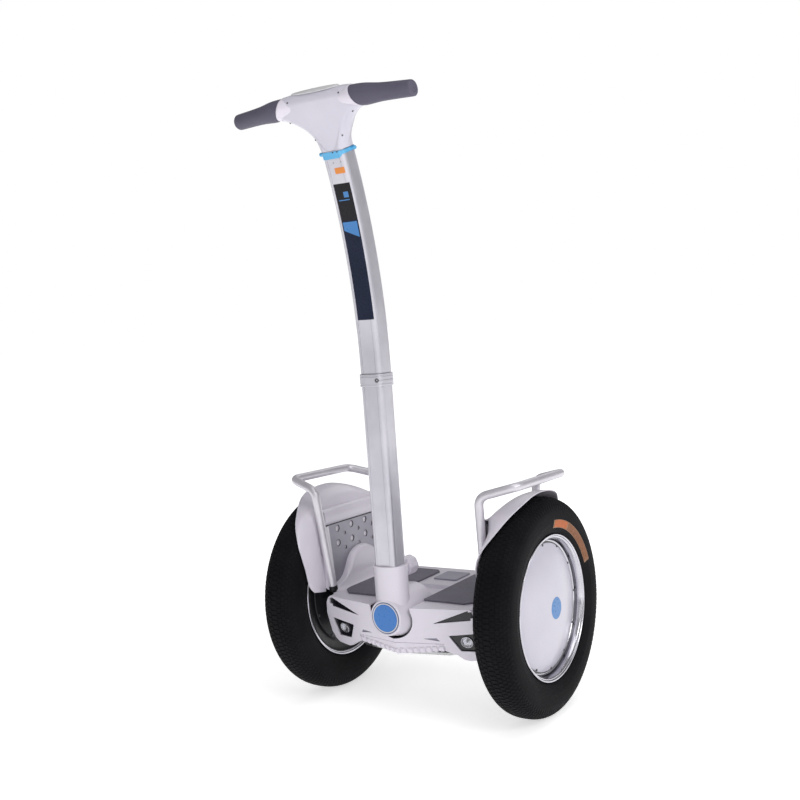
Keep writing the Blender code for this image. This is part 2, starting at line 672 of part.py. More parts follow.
def build_underside(looks):
    behind = CHIN_DEPTH + 0.001
    side = FRAME_HALF - 0.004
    step_x = CHIN_HALF + 0.0165
    half = [
        (0.0, nose_y(0.0, CHIN_BOTTOM, behind)),
        (CHIN_HALF, nose_y(CHIN_HALF, CHIN_BOTTOM + 0.011, behind)), (step_x, -0.100),
        (step_x, COVER_BACK + GAP), (side, COVER_BACK + GAP),
        (side, FRAME_REAR - GAP), (0.0, FRAME_REAR - GAP),
    ]
    mesh = prism_mesh("bottom_pan", mirrored(half), "Z", PAN_Z, FRAME_FLOOR - GAP)
    add_object("bottom_pan", mesh, looks["steel"])
    floor = FRAME_FLOOR + FRAME_BASE + GAP
    front = FRAME_FRONT + FRAME_WALL + 0.003
    battery_half = FRAME_HALF - 0.018
    far = (battery_half, front + BATTERY_LENGTH, floor + BATTERY_HEIGHT)
    pack = box_mesh("battery_pack", (-battery_half, front, floor), far)
    add_object("battery_pack", pack, looks["battery_case"])
    low = floor + BATTERY_HEIGHT + GAP
    board_half, board_front = 0.120, 0.030
    far = (board_half, FRAME_REAR - FRAME_WALL - 0.005, low + 0.016)
    board = box_mesh("control_board", (-board_half, board_front, low), far)
    add_object("control_board", board, looks["board_green"])


def rail_points(sign):
    """The bent tube's centre line: up the front leg, out over the fender, back and down again."""
    foot_x, knee_x, top_x, far_x = PLATE_X - 0.0095, PLATE_X - 0.0023, PLATE_X + 0.0035, TRACK / 2 + 0.0235
    foot_z, knee_z, top_z = DECK_Z + GAP, PLATE_TOP - 0.076, PLATE_TOP + 0.050
    corners = [
        (foot_x, -0.1020, foot_z, 0.0), (knee_x, -0.1125, knee_z, 0.10),
        (top_x, -0.1270, top_z + 0.0060, 0.026), (far_x, -0.1030, top_z + 0.0268, 0.030),
        (far_x - 0.0030, 0.1120, top_z + 0.0205, 0.026), (top_x + 0.0010, 0.1375, top_z, 0.026),
        (knee_x, 0.1245, knee_z, 0.10), (foot_x, 0.1150, foot_z, 0.0),
    ]
    points = []
    for i, (x, y, z, radius) in enumerate(corners):
        here = Vector((sign * x, y, z))
        if radius == 0.0:
            points.append(here)
            continue
        before = Vector((sign * corners[i - 1][0], *corners[i - 1][1:3]))
        after = Vector((sign * corners[i + 1][0], *corners[i + 1][1:3]))
        into, out = (before - here).normalized(), (after - here).normalized()
        half = into.angle(out) / 2
        reach = min(radius / sin(half) * cos(half), 0.035)
        steps = 2 if half > 1.4 else 5
        for step in range(steps + 1):
            t = step / steps
            start, end = here + into * reach, here + out * reach
            points.append((1 - t) ** 2 * start + 2 * t * (1 - t) * here + t**2 * end)
    return points


def build_rail(side, sign, looks):
    curve = bpy.data.curves.new(f"side_rail_{side}", "CURVE")
    curve.dimensions = "3D"
    curve.bevel_depth = RAIL_RADIUS
    curve.bevel_resolution = 2
    curve.use_fill_caps = True
    spline = curve.splines.new("POLY")
    points = rail_points(sign)
    spline.points.add(len(points) - 1)
    for point, place in zip(spline.points, points):
        point.co = (*place, 1.0)
    rail = bpy.data.objects.new(f"side_rail_{side}", curve)
    bpy.context.scene.collection.objects.link(rail)
    rail.parent = VEHICLE
    curve.materials.append(looks["satin_aluminium"])


def blend(known, at):
    """Reads a value between the known (position, value) pairs."""
    for (a0, v0), (a1, v1) in zip(known, known[1:]):
        if at <= a1:
            return v0 + (v1 - v0) * (at - a0) / (a1 - a0)
    return known[-1][1]


def build_fender(side, sign, looks):
    """A shell over the tyre's inner shoulder and crown, with a leaf that runs down ahead and behind.

    Its outer edge is given at angles from the top, as radii beyond the tyre's and as places beyond
    the tyre's middle plane.
    """
    lip = PLATE_TOP + 0.0040 - AXLE_Z
    edge_radius = [
        (0, 0.0145), (16, 0.0145), (24, 0.0125), (34, 0.0070), (41, 0.0040), (45, 0.0015), (49, -0.0025),
        (54, -0.0110), (58, -0.0245), (64, -0.0465), (71, -0.0645), (80, -0.0980),
    ]
    edge_x = [
        (0, 0.0200), (8, 0.0205), (16, 0.0195), (22, 0.0140), (29, 0.0035), (33, -0.0030), (38, -0.0110),
        (43, -0.0210), (48, -0.0320), (54, -0.0425), (58, -0.0460), (80, -0.0475),
    ]
    front_leg, rear_leg = 0.1040, 0.1180
    front_corner = degrees(atan2(front_leg, lip))
    rear_corner = degrees(atan2(rear_leg, lip))
    angles = [
        -80, -71, -64, -58, -54, -48, -42, -36, -rear_corner, -22, -11, 0, 11, 20, front_corner,
        33, 38, 43, 48, 54, 58, 64, 71, 80,
    ]
    rows = []
    for angle in angles:
        size = abs(angle)
        turn = radians(angle)
        leg = front_leg if angle > 0 else rear_leg
        low = min(lip / cos(turn), leg / max(sin(abs(turn)), 0.05))
        high = TYRE_RADIUS + blend(edge_radius, size)
        outer = TRACK / 2 + blend(edge_x, size)
        row = []
        for step in range(7):
            share = step / 6
            bulge = sin(share * pi / 2)
            reach = 1 - cos(share * pi / 2) ** 0.9
            x = FENDER_X + (outer - FENDER_X) * reach
            radius = low + (high - low) * bulge**0.85
            row.append((sign * x, -radius * sin(turn), AXLE_Z + radius * cos(turn)))
        rows.append(row)
    points = [p for row in rows for p in row]
    width = len(rows[0])
    faces = []
    for k in range(len(rows) - 1):
        for i in range(width - 1):
            a = k * width + i
            quad = (a, a + 1, a + width + 1, a + width)
            faces.append(quad if sign < 0 else quad[::-1])
    mesh = bpy.data.meshes.new(f"fender_{side}")
    mesh.from_pydata(points, [], faces)
    fender = smooth(add_object(f"fender_{side}", mesh, looks["white_plastic"]), 50)
    thick = fender.modifiers.new("thickness", "SOLIDIFY")
    thick.thickness = FENDER_THICKNESS
    thick.offset = -1.0
    thick.use_even_offset = True
    return fender


def build_fender_plate(side, sign, looks):
    """The perforated plate between the rail's legs, with the folded lip that carries the fender."""
    low, knee = DECK_Z + 0.0055, PLATE_TOP - 0.076
    inner, outer = PLATE_X, PLATE_X + PLATE_THICKNESS
    outline = [
        (-0.0910, low), (-0.1010, knee), (-0.1105, PLATE_TOP + 0.006),
        (0.1215, PLATE_TOP + 0.006), (0.1130, knee), (0.1030, low),
    ]
    mesh = prism_mesh("plate", outline, "X", *sorted((sign * inner, sign * outer)))
    plate = add_object(f"fender_plate_{side}", mesh, looks["perforated_steel"])
    lip_top = PLATE_TOP + 0.0075
    lip = [(-0.1070, PLATE_TOP), (-0.1070, lip_top), (0.1180, lip_top), (0.1180, PLATE_TOP)]
    reach = sorted((sign * (inner - 0.0035), sign * (FENDER_X - GAP)))
    join(plate, prism_mesh("plate_lip", lip, "X", *reach))
    span = sorted((sign * (inner - 0.01), sign * (outer + 0.01)))
    for column in range(3):
        for row in range(2):
            y, z = -0.058 + 0.0545 * column, PLATE_TOP - 0.044 - 0.034 * row
            cut(plate, prism_mesh("large_hole", circle(y, z, 0.0078, 10), "X", *span))
            cut(plate, prism_mesh("small_hole", circle(y + 0.0272, z - 0.0160, 0.0040, 8), "X", *span))
    return plate


def build_arch_cover(side, sign, looks):
    """The rounded cover that stands on the deck's edge against the fender plate."""
    inner, outer = PLATE_X - 0.0285, PLATE_X - GAP
    height, half = 0.084, 0.066
    base = DECK_Z + GAP
    middle = 0.012
    spring_z = base + 0.020  # where the arch springs from its straight legs

    def arch(shrink):
        w, h = half - shrink, height - shrink - 0.020
        turns = [radians(t) for t in range(0, 181, 15)]
        return [
            (middle + w, base), *((middle + w * cos(turn), spring_z + h * sin(turn)) for turn in turns),
            (middle - w, base),
        ]

    loops = []
    for x, shrink in ((outer, 0.0), (inner + 0.008, 0.0), (inner + 0.003, 0.0025), (inner, 0.0070)):
        loops.append([(sign * x, y, z) for y, z in arch(shrink)])
    cover = add_object(f"arch_cover_{side}", sweep_mesh("arch_cover", loops), looks["white_plastic"])
    inside = []
    for x in (outer + 0.001, inner + 0.0105):
        loop = [(sign * x, y, z) for y, z in arch(0.0100)]
        inside.append([(px, py, pz - 0.002 if abs(pz - base) < 1e-9 else pz) for px, py, pz in loop])
    cut(cover, sweep_mesh("arch_hollow", inside))
    return smooth(cover, 40)


def build_stem_base(looks):
    pivot = (0.0, STEM_Y, PIVOT_Z)
    front = HUB_FRONT
    profile = [
        (front, 0.0), (front, 0.0375), (front + 0.004, 0.0395), (front + 0.012, HUB_NOSE_RADIUS),
        (front + 0.030, HUB_NOSE_RADIUS), (front + 0.040, 0.0465), (front + 0.052, HUB_RADIUS),
        (HUB_REAR - 0.006, HUB_RADIUS), (HUB_REAR, HUB_RADIUS - 0.006), (HUB_REAR, 0.0),
    ]
    hub = turned_mesh("stem_base", profile, "Y", (0.0, 0.0, PIVOT_Z), 32)
    base = add_object("stem_base", hub, looks["white_plastic"], pivot)
    oval = [
        (BASE_HALF_X * sin(2 * pi * i / 24), STEM_Y + BASE_HALF_Y * cos(2 * pi * i / 24)) for i in range(24)
    ]
    join(base, prism_mesh("base_column", oval, "Z", PIVOT_Z - 0.01, BASE_TOP))
    boss = rod_mesh("knob_boss", 0.0130, "Y", STEM_Y + 0.026, STEM_Y + 0.0465, (0.0, 0.0, KNOB_Z), 20)
    join(base, boss)
    socket = [(x, y + STEM_Y) for x, y in round_rect(STEM_HALF_X + GAP, STEM_HALF_Y + GAP, STEM_CORNER, 3)]
    centre = (0.0, 0.0, PIVOT_Z)
    cut(
        base,
        prism_mesh("stem_socket", socket, "Z", STEM_BOTTOM - GAP, BASE_TOP + 0.01),
        rod_mesh("shaft_bore", 0.0163, "Y", -0.1608, HUB_REAR + 0.01, centre),
        rod_mesh("screw_bore", 0.0053, "Y", STEM_Y + 0.020, STEM_Y + 0.060, (0.0, 0.0, KNOB_Z), 16),
        rod_mesh("badge_seat", BADGE_RADIUS + 0.0004, "Y", front - 0.01, front + 0.0013, centre, 40),
    )
    smooth(base, 35)

    badge = [
        (front - 0.0010, 0.0), (front - 0.0006, BADGE_RADIUS - 0.0008), (front, BADGE_RADIUS),
        (front + 0.0010, BADGE_RADIUS), (front + 0.0010, 0.0),
    ]
    mesh = turned_mesh("base_badge", badge, "Y", (0.0, 0.0, PIVOT_Z), 40)
    add_object("base_badge", mesh, looks["blue_plastic"], pivot)

    wall_back = FRAME_FRONT + FRAME_WALL + GAP
    head_end = FRAME_FRONT + 0.0125
    shaft = [
        (-0.1600, 0.0), (-0.1600, SHAFT_RADIUS), (wall_back, SHAFT_RADIUS),
        (wall_back, SHAFT_RADIUS + 0.0005), (head_end, SHAFT_RADIUS + 0.0005), (head_end, 0.0),
    ]
    mesh = turned_mesh("steering_shaft", shaft, "Y", (0.0, 0.0, PIVOT_Z), 24)
    smooth(add_object("steering_shaft", mesh, looks["steel"], pivot))
    for name, start, end in (("front", -0.1590, -0.1490), ("rear", -0.0750, -0.0650)):
        inner = SHAFT_RADIUS + GAP
        ring = [(start, inner), (start, 0.0160), (end, 0.0160), (end, inner)]
        mesh = turned_mesh(f"shaft_bearing_{name}", ring, "Y", (0.0, 0.0, PIVOT_Z), 24)
        add_object(f"shaft_bearing_{name}", mesh, looks["steel"], pivot)
    inner, outer = SHAFT_RADIUS + 2 * GAP, 0.0175
    start, end = HUB_REAR + GAP, FRAME_FRONT - GAP
    ring = [(start, inner), (start, outer), (end, outer), (end, inner)]
    mesh = turned_mesh("centring_bush", ring, "Y", (0.0, 0.0, PIVOT_Z), 24)
    add_object("centring_bush", mesh, looks["tyre_rubber"], pivot)


def build_knob(looks):
    start = STEM_Y + 0.0465 + GAP
    end = start + KNOB_LENGTH
    count = 48
    lobes = []
    for i in range(count):
        turn = 2 * pi * i / count
        radius = KNOB_RADIUS + 0.0007 * cos(12 * turn)
        lobes.append((radius * sin(turn), KNOB_Z + radius * cos(turn)))
    small = [(x * 0.90, KNOB_Z + (z - KNOB_Z) * 0.90) for x, z in lobes]
    loops = [
        [(x, start, z) for x, z in small], [(x, start + 0.004, z) for x, z in lobes],
        [(x, end - 0.004, z) for x, z in lobes], [(x, end, z) for x, z in small],
    ]
    origin = (0.0, start, KNOB_Z)
    knob = add_object("clamp_knob", sweep_mesh("clamp_knob", loops), looks["white_plastic"], origin)
    tip = STEM_Y + STEM_HALF_Y + 2 * GAP
    join(knob, rod_mesh("knob_screw", 0.0050, "Y", tip, start + 0.002, (0.0, 0.0, KNOB_Z), 16))


def stem_loop(shrink, place):
    """One ring of the stem's section, made smaller by shrink and set at a place on its centre line."""
    y, z, lean = place
    outline = round_rect(STEM_HALF_X - shrink, STEM_HALF_Y - shrink, max(STEM_CORNER - shrink, 0.004), 3)
    return [(u, y + v * cos(lean), z + v * sin(lean)) for u, v in outline]


def stem_place(lean):
    """Centre line of the curved part: an arc that starts upright at the joint."""
    return STEM_Y - STEM_ARC * (1 - cos(lean)), STEM_JOINT + STEM_ARC * sin(lean), lean


def build_stem(looks):
    foot = (STEM_Y, STEM_BOTTOM, 0.0)
    head = (STEM_Y, STEM_JOINT, 0.0)
    mesh = tube_mesh(
        "lower_stem",
        [stem_loop(0.0, foot), stem_loop(0.0, head)],
        [stem_loop(STEM_WALL, foot), stem_loop(STEM_WALL, head)],
    )
    smooth(add_object("lower_stem", mesh, looks["satin_aluminium"], (0.0, STEM_Y, STEM_BOTTOM)), 25)

    low = (STEM_Y, STEM_JOINT - COLLAR_HEIGHT, 0.0)
    mesh = tube_mesh(
        "stem_collar",
        [stem_loop(-COLLAR_WALL - GAP, low), stem_loop(-COLLAR_WALL - GAP, head)],
        [stem_loop(-GAP, low), stem_loop(-GAP, head)],
    )
    smooth(add_object("stem_collar", mesh, looks["satin_aluminium"], (0.0, STEM_Y, STEM_JOINT)), 25)

    spigot = STEM_WALL + GAP
    bore = spigot + STEM_WALL
    start = (STEM_Y, STEM_JOINT - SPIGOT_LENGTH, 0.0)
    step = (STEM_Y, STEM_JOINT + GAP, 0.0)
    arc = [stem_place(STEM_LEAN * k / 8) for k in range(1, 9)]
    above = (STEM_Y, STEM_JOINT + 0.002, 0.0)
    outer = [stem_loop(spigot, start), stem_loop(spigot, step), stem_loop(0.0, step)]
    inner = [stem_loop(bore, start), stem_loop(bore, step), stem_loop(bore, above)]
    for place in arc:
        outer.append(stem_loop(0.0, place))
        inner.append(stem_loop(bore, place))
    mesh = tube_mesh("upper_stem", outer, inner)
    smooth(add_object("upper_stem", mesh, looks["satin_aluminium"], (0.0, STEM_Y, STEM_JOINT)), 25)

    top = stem_place(STEM_LEAN - 0.0008)
    low = stem_place(STEM_LEAN - 0.0095)
    mesh = tube_mesh(
        "stem_ring",
        [stem_loop(-0.0014, low), stem_loop(-0.0018, top)],
        [stem_loop(-GAP, low), stem_loop(-GAP, top)],
    )
    add_object("stem_ring", mesh, looks["sky_plastic"], (0.0, STEM_Y, STEM_JOINT))


def head_point(u, v, w):
    """A point of the head: u to the side, v backwards and w up along the leaning head."""
    y, z, _ = stem_place(STEM_LEAN)
    return (
        u,
        y + v * cos(HEAD_LEAN) - w * sin(HEAD_LEAN),
        z + v * sin(HEAD_LEAN) + w * cos(HEAD_LEAN),
    )


def grip_loop(u, radius, slant=0.0, steps=20):
    """One ring round the grip's axis. A slanted ring leans like the head's side."""
    beyond = max(abs(u) - GRIP_INNER, 0.0)
    middle_v = GRIP_SWEEP * beyond - GRIP_FORWARD
    middle_w = GRIP_HEIGHT - GRIP_DROOP * beyond
    side = 1 if u > 0 else -1
    loop = []
    for step in range(steps):
        turn = 2 * pi * (step + 0.5) / steps
        v, w = radius * sin(turn), radius * cos(turn)
        loop.append(head_point(u - side * slant * w, middle_v + v, middle_w + w))
    return loop


def head_outline():
    half = [
        (0.0, -0.020), (0.0320, -0.020), (0.0335, 0.002), (0.0370, 0.020), (0.0460, 0.0385),
        (0.0620, 0.0575), (0.0860, 0.0730), (0.1040, 0.0782), (0.0851, 0.1222),
        (0.0640, HEAD_TOP), (0.0, HEAD_TOP),
    ]
    return mirrored(half)


def head_depth(w):
    """How far the head's front face lies ahead of its parting line."""
    return 0.0265 - 0.09 * max(w, 0.0)


def pillow(outline, direction, depth_of, shrink):
    """Loops that round an outline over from the parting line to its face."""
    loops = []
    for drop, share in ((0.0, 0.0), (0.0012, 0.30), (0.0060, 0.66), (0.0160, 1.0)):
        ring = inset(outline, drop + shrink)
        loops.append([head_point(u, direction * (depth_of(w) - shrink) * share, w) for u, w in ring])
    return loops


def shifted(loop, distance):
    """Moves points of the head along its depth."""
    move = Vector(head_point(0.0, distance, 0.0)) - Vector(head_point(0.0, 0.0, 0.0))
    return [Vector(p) + move for p in loop]


def build_head(looks):
    outline = head_outline()
    end_y, end_z, _ = stem_place(STEM_LEAN)
    pivot = (0.0, STEM_Y, STEM_JOINT)
    across = Vector((0.0, cos(STEM_LEAN), sin(STEM_LEAN)))
    along = Vector((0.0, -sin(STEM_LEAN), cos(STEM_LEAN)))
    end = Vector((0.0, end_y, end_z))

    def stem_block(name, low, high, half):
        loops = []
        for height in (low, high):
            middle = end + along * height
            loops.append([
                middle + across * v + Vector((u, 0.0, 0.0))
                for u, v in ((-half, -half), (half, -half), (half, half), (-half, half))
            ])
        return sweep_mesh(name, loops)

    def slope(name, radius, start, finish):
        direction = Vector(finish) - Vector(start)
        across_u = Vector((1.0, 0.0, 0.0))
        side = direction.cross(across_u).normalized()
        loops = []
        for point in (Vector(start), Vector(finish)):
            turns = [2 * pi * i / 16 for i in range(16)]
            loops.append([point + radius * (cos(turn) * across_u + sin(turn) * side) for turn in turns])
        return sweep_mesh(name, loops)

    covers = (
        ("head_front_cover", -1, head_depth),
        ("head_rear_cover", 1, lambda w: HEAD_BACK),
    )
    for name, direction, depth_of in covers:
        loops = [shifted(loop, direction * GAP / 2) for loop in pillow(outline, direction, depth_of, 0.0)]
        cover = add_object(name, sweep_mesh(name, loops), looks["white_plastic"], pivot)
        hollow = pillow(outline, direction, depth_of, WALL)
        hollow[0] = shifted(hollow[0], -direction * 0.004)
        cut(cover, sweep_mesh("head_hollow", hollow))
        cut(cover, stem_block("stem_relief", -0.060, 0.0006, 0.060))
        cut(cover, stem_block("post_relief", -0.02, 0.030, 0.0165))
        beyond = GRIP_INNER + 0.025
        relief = [grip_loop(u, BAR_RADIUS + 0.0012) for u in (-beyond, -GRIP_INNER, GRIP_INNER, beyond)]
        cut(cover, sweep_mesh("bar_relief", relief))
        smooth(cover, 35)

    bar_end = GRIP_OUTER - 0.006
    loops = [grip_loop(u, BAR_RADIUS) for u in (-bar_end, -GRIP_INNER, GRIP_INNER, bar_end)]
    core = add_object("handlebar_core", sweep_mesh("handlebar_core", loops), looks["steel"], pivot)
    join(core, slope("core_post", 0.0080, end + along * -0.010, head_point(0.0, -0.003, GRIP_HEIGHT)))
    plug_half_x = STEM_HALF_X - 2 * STEM_WALL - 4 * GAP
    plug_half_y = STEM_HALF_Y - 2 * STEM_WALL - 4 * GAP
    loops = []
    for height in (-0.045, -0.0015):
        lean = STEM_LEAN + height / STEM_ARC
        y, z, _ = stem_place(lean)
        outline_plug = round_rect(plug_half_x, plug_half_y, 0.006, 3)
        loops.append([(u, y + v * cos(lean), z + v * sin(lean)) for u, v in outline_plug])
    join(core, sweep_mesh("core_plug", loops))

    top = []
    for w in (HEAD_TOP + GAP, HEAD_TOP + 0.0026):
        top.append([head_point(u, v + 0.0060, w) for u, v in round_rect(0.058, 0.0110, 0.005, 3)])
    add_object("display_panel", sweep_mesh("display_panel", top), looks["pale_grey_plastic"], pivot)

    for side, sign in (("left", -1), ("right", 1)):
        bore = BAR_RADIUS + 0.0009
        stations = [
            (GRIP_OUTER - 0.0055, bore, 0.0), (GRIP_INNER, bore, GRIP_SLANT),
            (GRIP_INNER, GRIP_THICK, GRIP_SLANT), (GRIP_INNER + 0.020, GRIP_THICK - 0.0004, 0.0),
            (GRIP_INNER + 0.055, GRIP_THIN + 0.0018, 0.0), (GRIP_OUTER - 0.006, GRIP_THIN, 0.0),
            (GRIP_OUTER, GRIP_THIN - 0.007, 0.0),
        ]
        loops = [grip_loop(sign * u, radius, slant) for u, radius, slant in stations]
        smooth(add_object(f"grip_{side}", sweep_mesh("grip", loops), looks["grip_rubber"], pivot))


clear_scene()
VEHICLE = bpy.data.objects.new("vehicle", None)
VEHICLE.location = (0.0, VEHICLE_Y, 0.0)
bpy.context.scene.collection.objects.link(VEHICLE)

LOOKS = make_looks()
build_frame(LOOKS)
build_front_cover(LOOKS)
build_headlights(LOOKS)
build_chin(LOOKS)
build_deck(LOOKS)
build_rear(LOOKS)
build_underside(LOOKS)
build_stem_base(LOOKS)
build_knob(LOOKS)
build_stem(LOOKS)
build_head(LOOKS)
for SIDE, SIGN in (("left", -1), ("right", 1)):
    build_wheel(SIDE, SIGN, LOOKS)
    build_rail(SIDE, SIGN, LOOKS)
    build_fender(SIDE, SIGN, LOOKS)
    build_fender_plate(SIDE, SIGN, LOOKS)
    build_arch_cover(SIDE, SIGN, LOOKS)
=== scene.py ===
"""Looks of the two-wheeled personal transporter, modelled round its packed construction.

Shapes are made in vehicle coordinates, in metres: the front faces -Y, the wheel axle lies over y = 0,
and left and right are as seen from the front, so right is +X. add() then moves them into the frame.
"""

import json
from math import asin, atan2, cos, degrees, pi, radians, sin, sqrt

import bmesh
import bpy
from mathutils import Matrix, Vector
from mathutils.bvhtree import BVHTree

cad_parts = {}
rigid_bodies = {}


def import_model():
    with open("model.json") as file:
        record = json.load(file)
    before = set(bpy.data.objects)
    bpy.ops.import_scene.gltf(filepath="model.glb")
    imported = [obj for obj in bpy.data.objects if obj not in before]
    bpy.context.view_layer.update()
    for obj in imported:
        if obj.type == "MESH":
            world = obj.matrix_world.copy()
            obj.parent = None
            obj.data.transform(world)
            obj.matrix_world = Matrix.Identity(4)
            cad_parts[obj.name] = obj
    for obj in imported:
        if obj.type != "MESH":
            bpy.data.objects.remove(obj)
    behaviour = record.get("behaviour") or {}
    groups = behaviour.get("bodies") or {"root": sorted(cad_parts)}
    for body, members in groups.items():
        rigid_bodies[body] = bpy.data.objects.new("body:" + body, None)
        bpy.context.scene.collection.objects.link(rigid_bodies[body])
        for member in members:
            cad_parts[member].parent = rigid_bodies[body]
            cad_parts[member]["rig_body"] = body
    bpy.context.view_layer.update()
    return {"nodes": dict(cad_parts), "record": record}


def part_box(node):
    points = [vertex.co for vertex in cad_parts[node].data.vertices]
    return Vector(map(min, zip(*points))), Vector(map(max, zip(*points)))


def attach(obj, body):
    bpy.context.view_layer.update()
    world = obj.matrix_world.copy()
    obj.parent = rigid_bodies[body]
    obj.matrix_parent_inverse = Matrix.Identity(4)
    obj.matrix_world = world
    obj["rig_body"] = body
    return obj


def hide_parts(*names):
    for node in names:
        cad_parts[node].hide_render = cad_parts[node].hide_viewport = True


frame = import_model()

# Places read from the frame
TYRE_LOW, TYRE_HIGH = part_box("tyre_right")
AXLE_Y = (TYRE_LOW.y + TYRE_HIGH.y) / 2
AXLE_Z = (TYRE_LOW.z + TYRE_HIGH.z) / 2
TRACK_HALF = (TYRE_LOW.x + TYRE_HIGH.x) / 2
TYRE_HALF = (TYRE_HIGH.x - TYRE_LOW.x) / 2
DECK_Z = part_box("deck_cover")[1].z
HUB_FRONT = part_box("stem_base")[0].y - AXLE_Y
BASE_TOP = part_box("stem_base")[1].z
STEM_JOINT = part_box("lower_stem")[1].z
STEM_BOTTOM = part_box("lower_stem")[0].z
KNOB_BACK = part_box("clamp_knob")[1].y - AXLE_Y

SIDES = (("left", -1), ("right", 1))

# Camera
CAMERA_PLACE = (1.3434, -2.0920, 0.8932)  # in vehicle coordinates
CAMERA_RIGHT = (0.8339, 0.5472, -0.0721)
CAMERA_UP = (0.0142, 0.1092, 0.9939)
CAMERA_LENS = 50.10

# Sizes: the construction's, and those of forms that only the scene has
GAP = 0.0003
TYRE_CROWN = 0.194
TYRE_ROUND = 2.6
TREAD_DEPTH = 0.0015
TREAD_PITCHES = 132
TREAD_ROWS = 11
RIM_RADIUS = 0.155
RIM_BARREL = 0.143
RIM_HALF_WIDTH = 0.0363
RIM_BEAD = RIM_BARREL + 0.006
RIM_SEAT = RIM_HALF_WIDTH - 0.005
RIM_INNER_X = -0.0243
TYRE_SIDE = TYRE_CROWN - RIM_RADIUS - 0.0008
DISC_RADIUS = 0.1365
DISC_X = 0.0177
DISC_CROWN = 0.0245
SPOT_RADIUS = 0.0238
CLIPS = 12
BOLTS = 10
COVER_RIBS = 20
NOSE_Y = -0.109
NOSE_SWEEP = 0.227
NOSE_RAKE = 0.293
LAMP_X = 0.1600
LAMP_Z = 0.1795
LENS_SEAT = 0.0032
BEZEL_LAP = 0.003
CHIN_HALF = 0.1095
CHIN_BOTTOM = 0.1450
CHIN_TOP = 0.1740
CHIN_DEPTH = 0.0150
PIVOT_Z = 0.2346
HUB_RADIUS = 0.0512
HUB_NOSE_RADIUS = 0.0410
HUB_REAR = -0.064
BADGE_RADIUS = 0.0341
BASE_HALF_X = 0.038
BASE_HALF_Y = 0.033
STEM_Y = -0.155
STEM_HALF_X = 0.027
STEM_HALF_Y = 0.0245
STEM_CORNER = 0.010
STEM_WALL = 0.0025
STEM_ARC = 1.434
STEM_LEAN = radians(18.92)
SPIGOT_LENGTH = 0.250
COLLAR_HEIGHT = 0.0275
KNOB_Z = 0.327
KNOB_RADIUS = 0.0212
HEAD_LEAN = radians(31.5)
HEAD_TOP = 0.1240
HEAD_BACK = 0.026
GRIP_INNER = 0.0946
GRIP_HEIGHT = 0.1009
GRIP_FORWARD = 0.003
GRIP_DROOP = 0.082
GRIP_SWEEP = 0.050
HEAD_SET = 0.009
HEAD_SET_TOP = 0.095
GRIP_SLANT = 0.4286
GRIP_OUTER = 0.2195
GRIP_THICK = 0.0215
GRIP_THIN = 0.0158
BAR_RADIUS = 0.011
BAR_ROOM = BAR_RADIUS + 0.0012
PLATE_X = 0.2085
PLATE_THICKNESS = 0.002
PLATE_TOP = 0.436
PLATE_EDGE = PLATE_TOP + 0.004
FENDER_X = 0.2197
FENDER_THICKNESS = 0.0025
RAIL_RADIUS = 0.0095


def mesh_of(name, points, faces):
    """A mesh from points and faces, with its normals made to point out."""
    mesh = bpy.data.meshes.new(name)
    mesh.from_pydata([tuple(p) for p in points], [], faces)
    bm = bmesh.new()
    bm.from_mesh(mesh)
    bmesh.ops.recalc_face_normals(bm, faces=bm.faces)
    bm.to_mesh(mesh)
    bm.free()
    return mesh


def soft_shaded(mesh, angle):
    mesh.shade_smooth()
    mesh.set_sharp_from_angle(angle=radians(angle))
    return mesh


def full_turns(count, offset=0.0):
    """Equal turns all the way round."""
    return [2 * pi * (k + offset) / count for k in range(count)]


def quarter_turns(count):
    """Equal turns from nothing to a quarter, both ends included."""
    return [pi / 2 * k / count for k in range(count + 1)]


def prism(outline, axis, start, end):
    """Extrudes a flat outline along an axis. An outline point is (y, z), (x, z) or (x, y)."""

    def place(point, along):
        u, v = point
        return {"X": (along, u, v), "Y": (u, along, v), "Z": (u, v, along)}[axis]

    count = len(outline)
    points = [place(p, start) for p in outline] + [place(p, end) for p in outline]
    sides = [(i, (i + 1) % count, count + (i + 1) % count, count + i) for i in range(count)]
    return mesh_of("prism", points, [*sides, tuple(range(count)), tuple(range(count, 2 * count))])


def turned(profile, axis, centre, steps=96):
    """Turns a closed profile of (along, radius) points round an axis through the centre."""

    def place(along, radius, turn):
        c, s = radius * cos(turn), radius * sin(turn)
        return Vector(centre) + Vector({"X": (along, s, c), "Y": (s, along, c), "Z": (c, s, along)}[axis])

    points = []
    rings = []
    for along, radius in profile:
        first = len(points)
        if radius < 1e-9:
            points.append(place(along, 0.0, 0.0))
            rings.append([first] * steps)
            continue
        points += [place(along, radius, turn) for turn in full_turns(steps)]
        rings.append(list(range(first, first + steps)))
    faces = []
    for here, there in zip(rings, rings[1:] + rings[:1]):
        for step in range(steps):
            after = (step + 1) % steps
            face = tuple(dict.fromkeys((here[step], here[after], there[after], there[step])))
            if len(face) > 2:
                faces.append(face)
    return mesh_of("turned", points, faces)


def swept(loops, closed=False):
    """Joins equal loops of points in order into one solid. A closed sweep joins the last to the first."""
    count = len(loops[0])
    points = [p for loop in loops for p in loop]
    faces = []
    spans = len(loops) if closed else len(loops) - 1
    for k in range(spans):
        here, there = k * count, ((k + 1) % len(loops)) * count
        for i in range(count):
            j = (i + 1) % count
            faces.append((here + i, here + j, there + j, there + i))
    if not closed:
        faces.append(tuple(range(count)))
        faces.append(tuple(range((len(loops) - 1) * count, len(loops) * count)))
    return mesh_of("swept", points, faces)


def mirrored(outline):
    """Completes a half outline that runs from the centre line round to the centre line on +x."""
    return outline + [(-x, y) for x, y in reversed(outline) if abs(x) > 1e-9]


